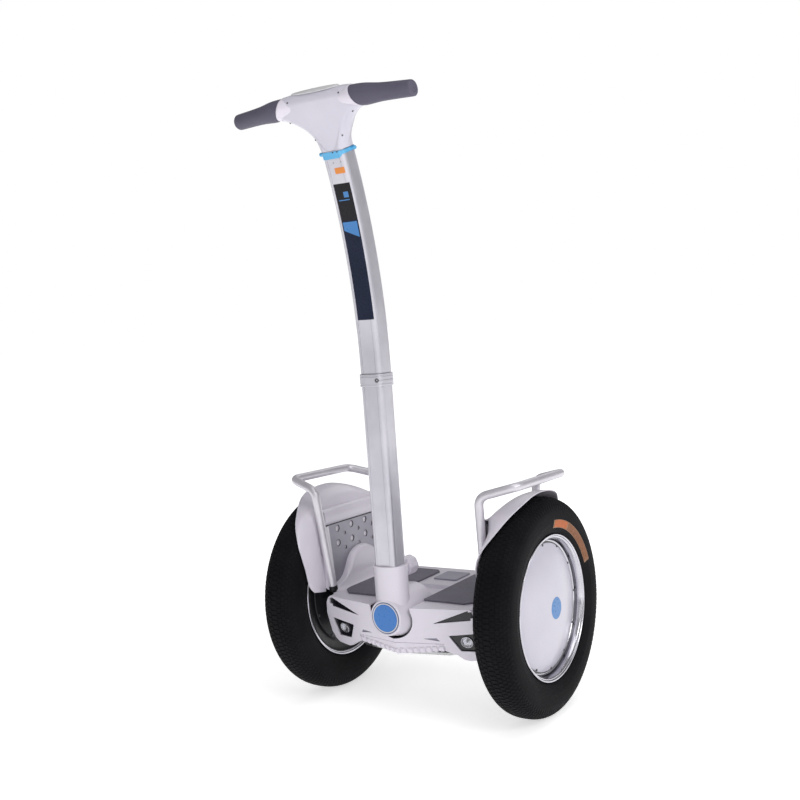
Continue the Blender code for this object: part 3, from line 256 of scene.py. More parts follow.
def rounded(corners, steps=8):
    """Rounds a polygon's corners. A corner is (u, v, radius)."""
    outline = []
    count = len(corners)
    for i, (u, v, radius) in enumerate(corners):
        here = Vector((u, v))
        if radius <= 0.0:
            outline.append((u, v))
            continue
        before = (Vector(corners[i - 1][:2]) - here).normalized()
        after = (Vector(corners[(i + 1) % count][:2]) - here).normalized()
        half = before.angle(after) / 2
        reach = radius / sin(half) * cos(half)
        middle = here + (before + after).normalized() * radius / sin(half)
        first = here + before * reach - middle
        last = here + after * reach - middle
        start = atan2(first.y, first.x)
        turn = (atan2(last.y, last.x) - start + pi) % (2 * pi) - pi
        for step in range(steps + 1):
            angle = start + turn * step / steps
            outline.append((middle.x + radius * cos(angle), middle.y + radius * sin(angle)))
    return outline


def inset(outline, distance):
    """Moves each side of an outline inwards by the distance."""
    count = len(outline)
    area = sum(outline[i - 1][0] * outline[i][1] - outline[i][0] * outline[i - 1][1] for i in range(count))
    side = 1.0 if area > 0 else -1.0
    moved = []
    for i in range(count):
        here = Vector(outline[i])
        before = (here - Vector(outline[i - 1])).normalized()
        after = (Vector(outline[(i + 1) % count]) - here).normalized()
        normal = Vector((-before.y - after.y, before.x + after.x)) * side
        normal.normalize()
        shrink = max(0.3, normal.dot(Vector((-before.y, before.x)) * side))
        point = here + normal * distance / shrink
        moved.append((point.x, point.y))
    return moved


def round_rect(half_u, half_v, radius, steps=8):
    corners = [
        (-half_u, -half_v, radius), (half_u, -half_v, radius),
        (half_u, half_v, radius), (-half_u, half_v, radius),
    ]
    return rounded(corners, steps)


def circle(u, v, radius, steps):
    return [(u + radius * sin(turn), v + radius * cos(turn)) for turn in full_turns(steps)]


def curved(known, at):
    """Reads a smooth curve through the known (position, value) pairs."""
    if at <= known[0][0]:
        return known[0][1]
    for i in range(len(known) - 1):
        (a, va), (b, vb) = known[i], known[i + 1]
        if at > b:
            continue
        before = known[i - 1] if i else known[i]
        after = known[i + 2] if i + 2 < len(known) else known[i + 1]
        slope_a = (vb - before[1]) / (b - before[0])
        slope_b = (after[1] - va) / (after[0] - a)
        span = b - a
        t = (at - a) / span
        return (
            (2 * t**3 - 3 * t**2 + 1) * va + (t**3 - 2 * t**2 + t) * span * slope_a
            + (3 * t**2 - 2 * t**3) * vb + (t**3 - t**2) * span * slope_b
        )
    return known[-1][1]


def spline(points, steps):
    """A smooth line through points of any dimension, with the given steps in each span."""
    line = []
    last = len(points) - 1
    for i in range(last):
        p0, p1 = Vector(points[max(i - 1, 0)]), Vector(points[i])
        p2, p3 = Vector(points[i + 1]), Vector(points[min(i + 2, last)])
        for step in range(steps):
            t = step / steps
            line.append(
                (p1 * 2 + (p2 - p0) * t + (p0 * 2 - p1 * 5 + p2 * 4 - p3) * t**2
                 + (p1 * 3 - p0 - p2 * 3 + p3) * t**3) / 2
            )
    line.append(Vector(points[-1]))
    return line


def placed(name, data):
    """A new object in the scene that shows the data."""
    obj = bpy.data.objects.new(name, data)
    bpy.context.scene.collection.objects.link(obj)
    return obj


def settled(obj):
    """Applies an object's modifiers to a new mesh and removes the object."""
    graph = bpy.context.evaluated_depsgraph_get()
    mesh = bpy.data.meshes.new_from_object(obj.evaluated_get(graph))
    bpy.data.objects.remove(obj)
    return mesh


def combined(mesh, operation, *others):
    """Joins meshes to a mesh or cuts them away."""
    body = placed("temporary", mesh)
    helpers = [placed("temporary", other) for other in others]
    for helper in helpers:
        modifier = body.modifiers.new("combine", "BOOLEAN")
        modifier.operation = operation
        modifier.solver = "EXACT"
        modifier.object = helper
    result = settled(body)
    for helper in helpers:
        bpy.data.objects.remove(helper)
    return result


def sided(outline, sign):
    """An outline made for the right side, or its mirror image for the left."""
    return [(sign * u, v) for u, v in outline]


def starting(start, profile):
    """A profile of (along, radius) points, set along its axis from a start."""
    return [(start + along, radius) for along, radius in profile]


def eased(mesh, width, segments, angle=30.0, clamp=False):
    """Rounds a mesh's sharp edges and shades it so that its flat faces stay flat."""
    body = placed("temporary", mesh)
    mesh.shade_smooth()
    bevel = body.modifiers.new("edges", "BEVEL")
    bevel.limit_method = "ANGLE"
    bevel.angle_limit = radians(angle)
    bevel.width = width
    bevel.segments = segments
    bevel.use_clamp_overlap = clamp
    bevel.miter_outer = "MITER_ARC"
    bevel.harden_normals = True
    return settled(body)


def melted(mesh, voxel):
    """Rebuilds a mesh in small voxels and smooths it, so that inner and outer corners are rounded."""
    body = placed("temporary", mesh)
    remesh = body.modifiers.new("voxels", "REMESH")
    remesh.mode = "VOXEL"
    remesh.voxel_size = voxel
    remesh.use_smooth_shade = True
    smooth = body.modifiers.new("smooth", "SMOOTH")
    smooth.factor = 0.5
    smooth.iterations = 4
    return settled(body)


def joined(*meshes):
    """Puts separate meshes into one."""
    bm = bmesh.new()
    for mesh in meshes:
        bm.from_mesh(mesh)
    whole = bpy.data.meshes.new("joined")
    bm.to_mesh(whole)
    bm.free()
    return whole


def moved(mesh, matrix):
    mesh.transform(matrix)
    if matrix.determinant() < 0:
        mesh.flip_normals()
    return mesh


def add(name, mesh, look, body, *nodes, angle=35.0):
    """Puts a mesh given in vehicle coordinates into the scene, where it rides on a body.

    Edges above the angle stay sharp. The angle is None for a mesh that is shaded already.
    """
    if angle is not None:
        soft_shaded(mesh, angle)
    mesh.transform(Matrix.Translation((0.0, AXLE_Y, 0.0)))
    obj = placed(name, mesh)
    mesh.materials.clear()
    mesh.materials.append(LOOKS[look])
    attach(obj, body)
    if nodes:
        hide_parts(*nodes)
    return obj


def node_mesh(node, cleaned):
    """A copy of a construction node's mesh, in vehicle coordinates. Cleaned, it has no split flat faces."""
    mesh = frame["nodes"][node].data.copy()
    if "custom_normal" in mesh.attributes:
        mesh.attributes.remove(mesh.attributes["custom_normal"])
    if cleaned:
        bm = bmesh.new()
        bm.from_mesh(mesh)
        bmesh.ops.remove_doubles(bm, verts=bm.verts, dist=1e-6)
        bmesh.ops.dissolve_limit(bm, angle_limit=radians(0.6), verts=bm.verts, edges=bm.edges)
        bm.to_mesh(mesh)
        bm.free()
    mesh.transform(Matrix.Translation((0.0, -AXLE_Y, 0.0)))
    mesh.materials.clear()
    return mesh


def refined(node, look, width):
    """A copy of a construction node with its edges rounded."""
    mesh = eased(node_mesh(node, True), width, 3)
    add(f"{node}_shell", mesh, look, frame["nodes"][node]["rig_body"], node, angle=None)


# Materials


def fed(tree, node, inputs):
    """Gives a shader node its inputs: values, or sockets of other nodes to link from."""
    for name, value in inputs.items():
        if isinstance(value, bpy.types.NodeSocket):
            tree.links.new(value, node.inputs[name])
        else:
            node.inputs[name].default_value = value
    return node


def finish(
    name, dark, light, rough, relief, metallic=0.0, patch=14.0, grain=900.0, stretch=(1.0, 1.0, 1.0),
    cells=0.0, coat=0.0, specular=0.5, space=None, clear=False,
):
    """A surface whose colour, gloss and relief vary.

    dark and light are the colours that it varies between, in patches, rough is its least and greatest
    roughness, grain is the count of grains in a metre and relief their strength. Cells add a pebbled
    relief of that many cells in a metre. Stretch draws the grain out along an axis. Space names the
    attribute that the grain follows. A clear surface lets light through.
    """
    made = bpy.data.materials.new(name)
    made.use_nodes = True
    tree = made.node_tree
    new = tree.nodes.new
    if space:
        source = new("ShaderNodeAttribute")
        source.attribute_name = space
        coordinates = source.outputs["Vector"]
    else:
        coordinates = new("ShaderNodeTexCoord").outputs["Object"]

    def noise(scale, detail, warp=(1.0, 1.0, 1.0)):
        mapping = fed(tree, new("ShaderNodeMapping"), {"Scale": warp, "Vector": coordinates})
        inputs = {"Scale": scale, "Detail": detail, "Vector": mapping.outputs["Vector"]}
        return fed(tree, new("ShaderNodeTexNoise"), inputs).outputs["Fac"]

    ramp = fed(tree, new("ShaderNodeValToRGB"), {"Fac": noise(patch, 4.0)})
    for element, position, colour in zip(ramp.color_ramp.elements, (0.35, 0.65), (dark, light)):
        element.position = position
        element.color = (*colour, 1.0)
    gloss = fed(tree, new("ShaderNodeMapRange"), {
        "From Min": 0.3, "From Max": 0.7, "To Min": rough[0], "To Max": rough[1],
        "Value": noise(grain * 0.2, 3.0, stretch),
    })
    height = noise(grain, 2.0, stretch)
    if cells:
        pebble = fed(tree, new("ShaderNodeTexVoronoi"), {"Scale": cells, "Vector": coordinates})
        total = new("ShaderNodeMath")
        total.operation = "ADD"
        height = fed(tree, total, {0: height, 1: pebble.outputs["Distance"]}).outputs["Value"]
    bump = fed(tree, new("ShaderNodeBump"), {"Strength": relief, "Distance": 0.0004, "Height": height})
    shader = fed(tree, tree.nodes["Principled BSDF"], {
        "Metallic": metallic, "Coat Weight": coat, "Coat Roughness": 0.12, "Specular IOR Level": specular,
        "Base Color": ramp.outputs["Color"], "Roughness": gloss.outputs["Result"],
        "Normal": bump.outputs["Normal"],
    })
    if clear:
        fed(tree, shader, {"Transmission Weight": 0.95, "IOR": 1.45})
    return made


# Each look: its name, its darkest and lightest colour, its roughness, its relief, and what else differs
LOOK_ROWS = (
    ("white_plastic", (0.690, 0.652, 0.735), (0.715, 0.678, 0.760), (0.27, 0.31), 0.006,
     {"patch": 5.0, "grain": 2600.0, "coat": 0.2}),
    # A darker, bluer copy of the white plastic: partly the covers' own greyer tone, partly painted shade.
    ("cover_plastic", (0.575, 0.556, 0.640), (0.600, 0.580, 0.665), (0.27, 0.31), 0.006,
     {"grain": 2600.0, "coat": 0.2}),
    ("black_plastic", (0.008, 0.008, 0.010), (0.014, 0.013, 0.016), (0.28, 0.42), 0.05, {"specular": 0.3}),
    ("gloss_black", (0.006, 0.006, 0.008), (0.010, 0.009, 0.013), (0.10, 0.16), 0.02, {}),
    ("tyre_rubber", (0.0030, 0.0029, 0.0042), (0.0052, 0.0050, 0.0068), (0.60, 0.80), 0.10,
     {"grain": 1600.0, "specular": 0.12}),
    ("mat_rubber", (0.145, 0.134, 0.172), (0.165, 0.153, 0.194), (0.62, 0.78), 0.10, {"cells": 520.0}),
    ("grip_rubber", (0.092, 0.084, 0.122), (0.106, 0.097, 0.140), (0.52, 0.64), 0.05,
     {"cells": 900.0, "specular": 0.3}),
    ("satin_aluminium", (0.52, 0.51, 0.565), (0.60, 0.585, 0.64), (0.28, 0.40), 0.06,
     {"metallic": 0.7, "grain": 1400.0, "stretch": (1.0, 1.0, 0.02), "space": "grain_space"}),
    ("rail_aluminium", (0.60, 0.58, 0.63), (0.67, 0.65, 0.70), (0.34, 0.44), 0.03, {"metallic": 0.55}),
    ("polished_rim", (0.52, 0.51, 0.56), (0.62, 0.61, 0.66), (0.12, 0.22), 0.02, {"metallic": 1.0}),
    # A darker copy of the rim's chrome, which paints shade on the rim's slope.
    ("dark_chrome", (0.16, 0.16, 0.18), (0.24, 0.24, 0.26), (0.12, 0.22), 0.02, {"metallic": 1.0}),
    ("cast_aluminium", (0.36, 0.36, 0.38), (0.46, 0.46, 0.48), (0.45, 0.62), 0.4, {"metallic": 0.9}),
    ("perforated_steel", (0.30, 0.29, 0.34), (0.34, 0.33, 0.38), (0.36, 0.48), 0.05, {"metallic": 0.55}),
    ("steel", (0.38, 0.38, 0.39), (0.50, 0.50, 0.51), (0.22, 0.34), 0.05, {"metallic": 1.0}),
    ("dark_steel", (0.05, 0.05, 0.055), (0.09, 0.09, 0.095), (0.28, 0.42), 0.08, {"metallic": 0.9}),
    ("blue_plastic", (0.016, 0.155, 0.50), (0.022, 0.175, 0.54), (0.26, 0.34), 0.03, {"coat": 0.3}),
    ("spot_blue", (0.020, 0.165, 0.46), (0.030, 0.190, 0.50), (0.26, 0.34), 0.03, {"coat": 0.3}),
    ("outline_blue", (0.012, 0.045, 0.17), (0.018, 0.06, 0.20), (0.26, 0.34), 0.03, {}),
    ("sky_plastic", (0.09, 0.40, 0.70), (0.12, 0.44, 0.74), (0.28, 0.38), 0.04, {}),
    ("grey_plastic", (0.30, 0.29, 0.36), (0.36, 0.35, 0.42), (0.40, 0.52), 0.10, {}),
    ("pale_grey_plastic", (0.58, 0.58, 0.60), (0.64, 0.64, 0.66), (0.30, 0.40), 0.05, {}),
    ("clear_lens", (0.93, 0.94, 0.96), (0.93, 0.94, 0.96), (0.02, 0.05), 0.01,
     {"patch": 40.0, "clear": True}),
    ("red_lens", (0.38, 0.012, 0.012), (0.50, 0.02, 0.02), (0.08, 0.14), 0.02, {"coat": 0.6}),
    ("copper_winding", (0.45, 0.17, 0.06), (0.60, 0.25, 0.09), (0.32, 0.48), 0.3, {"metallic": 0.9}),
    ("battery_case", (0.04, 0.08, 0.14), (0.06, 0.10, 0.18), (0.50, 0.62), 0.15, {}),
    ("board_green", (0.02, 0.16, 0.06), (0.04, 0.24, 0.10), (0.40, 0.55), 0.15, {}),
    ("label_navy", (0.006, 0.011, 0.030), (0.011, 0.016, 0.040), (0.24, 0.32), 0.02, {"specular": 0.15}),
    ("label_black", (0.010, 0.010, 0.013), (0.016, 0.015, 0.019), (0.24, 0.32), 0.02, {"specular": 0.15}),
    ("label_pale", (0.62, 0.60, 0.62), (0.70, 0.68, 0.70), (0.26, 0.34), 0.02, {}),
    ("label_orange", (0.70, 0.22, 0.03), (0.80, 0.28, 0.05), (0.30, 0.40), 0.02, {}),
    ("tyre_orange", (0.40, 0.095, 0.022), (0.50, 0.125, 0.030), (0.50, 0.70), 0.1, {"patch": 160.0}),
    ("tyre_tan", (0.22, 0.12, 0.07), (0.30, 0.17, 0.10), (0.55, 0.75), 0.1, {"patch": 120.0}),
    ("tyre_rust", (0.17, 0.060, 0.022), (0.26, 0.095, 0.032), (0.50, 0.70), 0.1, {"patch": 160.0}),
)
LOOKS = {name: finish(name, *values, **more) for name, *values, more in LOOK_ROWS}


def dress_frame_nodes():
    """Gives each construction node that stays in view the finish of its own slot."""
    for row in frame["record"]["subparts"]:
        node = frame["nodes"].get(row["node"])
        if node:
            node.data.materials.clear()
            node.data.materials.append(LOOKS[row["material_slot"]])


# Wheels


def tyre_section(turn):
    """A point of the tyre's upper section: its place across and its radius, at a turn from the crown."""
    side = 1 if turn >= 0 else -1
    across = TYRE_HALF * side * abs(sin(turn)) ** (2 / TYRE_ROUND)
    return across, TYRE_CROWN + (AXLE_Z - TYRE_CROWN) * cos(turn) ** (2 / TYRE_ROUND)


def sidewall(share):
    """A point of the tyre's lower side, from its widest place at 0 to the rim's flange at 1."""
    across = RIM_SEAT + (TYRE_HALF - RIM_SEAT) * max(cos(share * pi / 2), 0.0) ** 0.7
    return across, TYRE_CROWN - TYRE_SIDE * share


def wheel_point(sign, along, radius, turn):
    """A point of a wheel: out along its axle, and at a radius and a turn from the top."""
    return sign * (TRACK_HALF + along), radius * sin(turn), AXLE_Z + radius * cos(turn)


def build_tyre(side, sign):
    """The carcass with rows of staggered tread blocks, smooth sides and two fine rings near the bead."""
    half_tread = radians(70.0)
    pitch = 2 * pi / TREAD_PITCHES
    ring_marks = {0.30: 0.0005, 0.36: 0.0005, 0.80: 0.0007, 0.86: 0.0007}
    wall = []
    for share in (1.0, 0.93, 0.86, 0.80, 0.74, 0.62, 0.50, 0.42, 0.36, 0.30, 0.24, 0.12, 0.0):
        across, radius = sidewall(share)
        wall.append((across + ring_marks.get(share, 0.0) * 0.5, radius))
    shoulder = (74.0, 80.0, 87.0)
    plain = (0.0, 0.0, False)  # depth of the groove, offset of the row, whether blocks rise here
    stations = [(-across, radius, *plain) for across, radius in wall]
    stations += [(*tyre_section(radians(-turn)), *plain) for turn in reversed(shoulder)]
    width = 2 * half_tread / TREAD_ROWS
    for row in range(TREAD_ROWS):
        start = -half_tread + 2 * half_tread * row / TREAD_ROWS
        for mark, raised in ((0.05, False), (0.12, True), (0.5, True), (0.88, True), (0.95, False)):
            stations.append((*tyre_section(start + width * mark), TREAD_DEPTH, 0.5 * (row % 2), raised))
    stations += [(*tyre_section(radians(turn)), *plain) for turn in shoulder]
    stations += [(across, radius, *plain) for across, radius in reversed(wall)]
    stations += [(RIM_SEAT, RIM_BEAD + GAP, *plain), (-RIM_SEAT, RIM_BEAD + GAP, *plain)]
    loops = []
    for across, radius, depth, offset, raised in stations:
        loop = []
        for k in range(TREAD_PITCHES):
            for mark, block in ((0.10, False), (0.20, True), (0.80, True), (0.90, False)):
                r = radius if (raised and block) else radius - depth
                loop.append(wheel_point(sign, across, r, pitch * (k + mark + offset)))
        loops.append(loop)
    mesh = swept(loops, closed=True)
    add(f"tyre_{side}_tread", mesh, "tyre_rubber", f"wheel_{side}", f"tyre_{side}", angle=40)


def build_tyre_mark():
    """The plain coloured mark on the right tyre's outer side: a tan ground with a short and a long arc."""
    for name, look, first, last, inner, outer, lift in (
        ("tyre_mark_border", "tyre_tan", 4.0, 69.0, 0.1695, 0.1870, 0.0003),
        ("tyre_mark_short", "tyre_orange", 5.5, 25.0, 0.1708, 0.1857, 0.0006),
        ("tyre_mark_long", "tyre_rust", 27.0, 67.5, 0.1708, 0.1857, 0.0006),
    ):
        turns = [radians(first + (last - first) * step / 48) for step in range(49)]
        rows = []
        for radial in range(9):
            r = inner + (outer - inner) * radial / 8
            across = min(sidewall((TYRE_CROWN - r) / TYRE_SIDE)[0] + lift, TYRE_HALF - 0.0001)
            rows.append([wheel_point(1, across, r, turn) for turn in turns])
        add(name, sheet_mesh(rows, (-0.0012, 0.0, 0.0)), look, "wheel_right")


def grid_faces(height, width):
    """The faces between the points of a grid, which are given row by row."""
    starts = [k * width + i for k in range(height - 1) for i in range(width - 1)]
    return [(a, a + 1, a + width + 1, a + width) for a in starts]


def sheet_mesh(rows, back):
    """A thin closed sheet: a grid of points and the same grid moved back."""
    height, width = len(rows), len(rows[0])
    front = [Vector(p) for row in rows for p in row]
    total = len(front)
    faces = []
    for quad in grid_faces(height, width):
        faces += [quad, tuple(total + p for p in reversed(quad))]
    border = [
        *range(width), *range(2 * width - 1, total, width), *range(total - 2, total - width - 1, -1),
        *range((height - 2) * width, 0, -width),
    ]
    faces += [(a, b, total + b, total + a) for a, b in zip(border, border[1:] + border[:1])]
    return mesh_of("sheet", front + [p + Vector(back) for p in front], faces)


def wheel_turned(side, sign, profile, name, look, *nodes, steps=128):
    mesh = turned(sided(profile, sign), "X", (sign * TRACK_HALF, 0.0, AXLE_Z), steps)
    add(name, mesh, look, f"wheel_{side}", *nodes, angle=32)


def build_rim(side, sign):
    """The rim with beaded lips, a stepped outer face and its barrel."""
    lip = [
        (0.0313, 0.1550), (0.0330, 0.1560), (0.0347, 0.1561), (0.0359, 0.1554), (0.0363, 0.1541),
        (0.0360, 0.1528), (0.0350, 0.1519), (0.0338, 0.1516), (0.0331, 0.1508), (0.0329, 0.1494),
        (0.0322, 0.1484), (0.0308, 0.1477),
    ]
    outer = [
        *lip, (0.0270, 0.1464), (0.0225, 0.1453), (0.0185, 0.1446), (0.0160, 0.1438), (0.0145, 0.1424),
        (0.0137, 0.1402), (0.0137, 0.1200),
    ]
    inner = [
        (RIM_INNER_X, 0.1200), (RIM_INNER_X, 0.1245), (-0.0262, 0.1330), (-0.0275, 0.1400),
        (-0.0290, 0.1450), *((-x, r) for x, r in reversed(lip)),
    ]
    profile = [*outer, *inner, (-RIM_SEAT, RIM_BEAD), (RIM_SEAT, RIM_BEAD)]
    wheel_turned(side, sign, profile, f"wheel_rim_{side}_polished", "polished_rim", f"wheel_rim_{side}")


def wheel_heads(side, sign, name, head, along, radius, count, steps, start=0.0):
    """A circle of small turned heads round the axle."""
    heads = []
    for turn in full_turns(count):
        place = wheel_point(sign, along, radius, start + turn)
        heads.append(turned(sided(head, sign), "X", place, steps))
    add(f"{name}_{side}", joined(*heads), "dark_steel", f"wheel_{side}")


def build_disc(side, sign):
    """The domed motor cover with its clips and plain blue spot, a black ring that paints the shade of the gap
    round it, and a band of painted shade on the rim's slope.
    """

    def dome(radius):
        return DISC_X + DISC_CROWN * (1 - (radius / DISC_RADIUS) ** 2)

    back = DISC_X - 0.0037
    profile = [
        (DISC_X - 0.0036, DISC_RADIUS - 0.0004), (DISC_X - 0.0006, DISC_RADIUS),
        (DISC_X + 0.0002, DISC_RADIUS - 0.0004), (DISC_X + 0.0006, DISC_RADIUS - 0.0014),
        *((dome(DISC_RADIUS * k / 24), DISC_RADIUS * k / 24) for k in range(23, -1, -1)),
        (back + 0.0022, 0.0), (back + 0.0022, 0.110), (back, 0.118), (back, DISC_RADIUS - 0.003),
    ]
    cover = f"motor_cover_outer_{side}"
    # The dome's plastic is darker: its own greyer tone, and painted shade.
    wheel_turned(side, sign, profile, f"{cover}_dome", "cover_plastic", cover)
    spot = [
        (dome(0.0) + 0.0003, 0.0), (dome(SPOT_RADIUS) + 0.0003, SPOT_RADIUS - 0.0006),
        (dome(SPOT_RADIUS) - 0.0002, SPOT_RADIUS), (dome(0.0) - 0.001, 0.0),
    ]
    wheel_turned(side, sign, spot, f"hub_spot_{side}", "spot_blue", steps=64)
    clip = [(0.0, 0.0), (0.0028, 0.0), (0.0028, 0.0018), (0.0022, 0.0025), (0.0, 0.0026)]
    wheel_heads(side, sign, "cover_screws", clip, DISC_X - 0.0002, 0.1340, CLIPS, 20, radians(-1))
    # A black ring in the gap between the cover and the rim: painted shade of that gap.
    seat = [(0.0139, 0.1368), (0.0152, 0.1368), (0.0152, 0.1396), (0.0139, 0.1396)]
    wheel_turned(side, sign, seat, f"cover_gap_shade_{side}", "gloss_black")
    # A darker chrome skin on the rim's barrel slope: painted shade.
    shade = [
        (0.0164, 0.1442), (0.0187, 0.1449), (0.0227, 0.1456), (0.0229, 0.1453), (0.0187, 0.1444),
        (0.0165, 0.1438),
    ]
    shade = [(along, radius - 0.0003) for along, radius in shade]
    wheel_turned(side, sign, shade, f"rim_shade_{side}", "dark_chrome")


def build_inner_cover(side, sign):
    """The black cover on the wheel's inner side with its ring of bolts and ribs."""
    plate = RIM_INNER_X - GAP
    profile = starting(plate, [
        (0.0, 0.1235), (-0.0045, 0.1235), (-0.0060, 0.1222), (-0.0070, 0.1150), (-0.0105, 0.1080),
        (-0.0115, 0.0760), (-0.0140, 0.0680), (-0.0140, 0.0320), (-0.0128, 0.0300), (-0.0128, 0.0213),
        (-0.001, 0.0213), (-0.001, 0.050), (0.0, 0.1165),
    ])
    cover = f"motor_cover_inner_{side}"
    wheel_turned(side, sign, profile, f"{cover}_cap", "black_plastic", cover)
    liner = starting(plate, [
        (-0.0006, 0.1240), (-0.0026, 0.1330), (-0.0040, 0.1400), (-0.0058, 0.1455), (-0.0075, 0.1472),
        (-0.0068, 0.1476), (-0.0045, 0.1462), (-0.0010, 0.1380), (0.0, 0.1240),
    ])
    wheel_turned(side, sign, liner, f"rim_liner_{side}", "black_plastic")
    bolt = [(0.0015, 0.0), (-0.0026, 0.0), (-0.0026, 0.0030), (-0.0018, 0.0038), (0.0015, 0.0038)]
    wheel_heads(side, sign, "inner_cover_bolts", bolt, plate - 0.0062, 0.1186, BOLTS, 6)
    ribs = []
    for turn in full_turns(COVER_RIBS):
        block = prism(round_rect(0.0011, 0.0115, 0.0008, 3), "X", 0.0, 0.0016)
        spin = Matrix.Rotation(-turn, 4, "X") @ Matrix.Translation((0.0, 0.0, 0.092))
        shift = Matrix.Translation((sign * (TRACK_HALF + plate - 0.0118) - 0.0008, 0.0, AXLE_Z))
        ribs.append(moved(block, shift @ spin))
    add(f"inner_cover_ribs_{side}", joined(*ribs), "black_plastic", f"wheel_{side}")


def build_wheels():
    for side, sign in SIDES:
        build_tyre(side, sign)
        build_rim(side, sign)
        build_disc(side, sign)
        build_inner_cover(side, sign)
    build_tyre_mark()


# Stem


def stem_place(lean):
    """Centre line of the curved part: an arc that starts upright at the joint."""
    return STEM_Y - STEM_ARC * (1 - cos(lean)), STEM_JOINT + STEM_ARC * sin(lean), lean


def stem_place_at(z):
    """The centre line's place at a height."""
    if z <= STEM_JOINT:
        return STEM_Y, z, 0.0
    return stem_place(asin((z - STEM_JOINT) / STEM_ARC))


def stem_loop(shrink, place, steps=8):
    """One ring of the stem's section, made smaller by shrink and set at a place on its centre line."""
    y, z, lean = place
    corner = max(STEM_CORNER - shrink, 0.003)
    outline = round_rect(STEM_HALF_X - shrink, STEM_HALF_Y - shrink, corner, steps)
    return [(u, y + v * cos(lean), z + v * sin(lean)) for u, v in outline]


def stem_front(x, place, lift):
    """A point lifted off the stem's front face, x across it, at a place on the stem's centre line."""
    y, z, lean = place
    beyond = max(abs(x) - (STEM_HALF_X - STEM_CORNER), 0.0)
    front = -(STEM_HALF_Y - STEM_CORNER + sqrt((STEM_CORNER + lift) ** 2 - beyond**2))
    return x, y + front * cos(lean), z + front * sin(lean)


def grooved_loop(place):
    """One ring of the stem's outer section, which has a fine groove on each side of each corner."""
    y, z, lean = place
    steps = 8
    arcs = round_rect(STEM_HALF_X, STEM_HALF_Y, STEM_CORNER, steps)
    outline = []
    for first in range(0, len(arcs), steps + 1):
        last = first + steps
        for start, away, points in (
            (arcs[first], arcs[first - 1], ()),
            (arcs[last], arcs[(last + 1) % len(arcs)], arcs[first:last + 1]),
        ):
            outline += points
            along = (Vector(away) - Vector(start)).normalized()
            inward = Vector((-start[0], 0.0)) if abs(along.y) > 0.5 else Vector((0.0, -start[1]))
            inward.normalize()
            notch = [(0.0004, 0.0), (0.0007, 0.0006), (0.0013, 0.0006), (0.0016, 0.0)]
            ring = [Vector(start) + along * far + inward * deep for far, deep in notch]
            outline += [(p.x, p.y) for p in (ring if points else reversed(ring))]
    return [(u, y + v * cos(lean), z + v * sin(lean)) for u, v in outline]


def add_brushed(name, mesh, angle, body, node):
    """Adds a piece of the stem whose points store their place across it and along it, for the grain."""
    soft_shaded(mesh, angle)
    store = mesh.attributes.new("grain_space", "FLOAT_VECTOR", "POINT")
    for vertex, item in zip(mesh.vertices, store.data):
        x, y, z = vertex.co
        if z <= STEM_JOINT:
            item.vector = (x, y - STEM_Y, z)
            continue
        out_y, up_z = y - (STEM_Y - STEM_ARC), z - STEM_JOINT
        item.vector = (x, sqrt(out_y**2 + up_z**2) - STEM_ARC, STEM_JOINT + STEM_ARC * atan2(up_z, out_y))
    add(name, mesh, "satin_aluminium", body, node, angle=None)


def tube(outer, inner):
    return swept([*outer, *reversed(inner)], closed=True)


def build_stem():
    """The straight lower tube, and the curved upper tube with the narrower part that slides in it."""
    foot, head = (STEM_Y, STEM_BOTTOM, 0.0), (STEM_Y, STEM_JOINT, 0.0)
    outer = [grooved_loop(foot), grooved_loop(head)]
    count = len(outer[0])

    def plain(shrink, *places):
        """Rings without grooves that have as many points as the grooved ones."""
        loops = [stem_loop(shrink, place, 17) for place in places]
        return [[loop[i * len(loop) // count] for i in range(count)] for loop in loops]

    mesh = tube(outer, plain(STEM_WALL, foot, head))
    add_brushed("lower_stem_tube", mesh, 25, "steering", "lower_stem")
    spigot = STEM_WALL + GAP
    start = (STEM_Y, STEM_JOINT - SPIGOT_LENGTH, 0.0)
    step = (STEM_Y, STEM_JOINT + GAP, 0.0)
    edge = (STEM_Y, STEM_JOINT + GAP + 0.0006, 0.0)
    above = (STEM_Y, STEM_JOINT + 0.002, 0.0)
    arc = [stem_place(STEM_LEAN * k / 40) for k in range(1, 41)]
    outer = [*plain(spigot, start, step), *(grooved_loop(place) for place in (edge, *arc))]
    mesh = tube(outer, plain(spigot + STEM_WALL, start, above, *arc))
    add_brushed("upper_stem_tube", mesh, 25, "handlebar", "upper_stem")


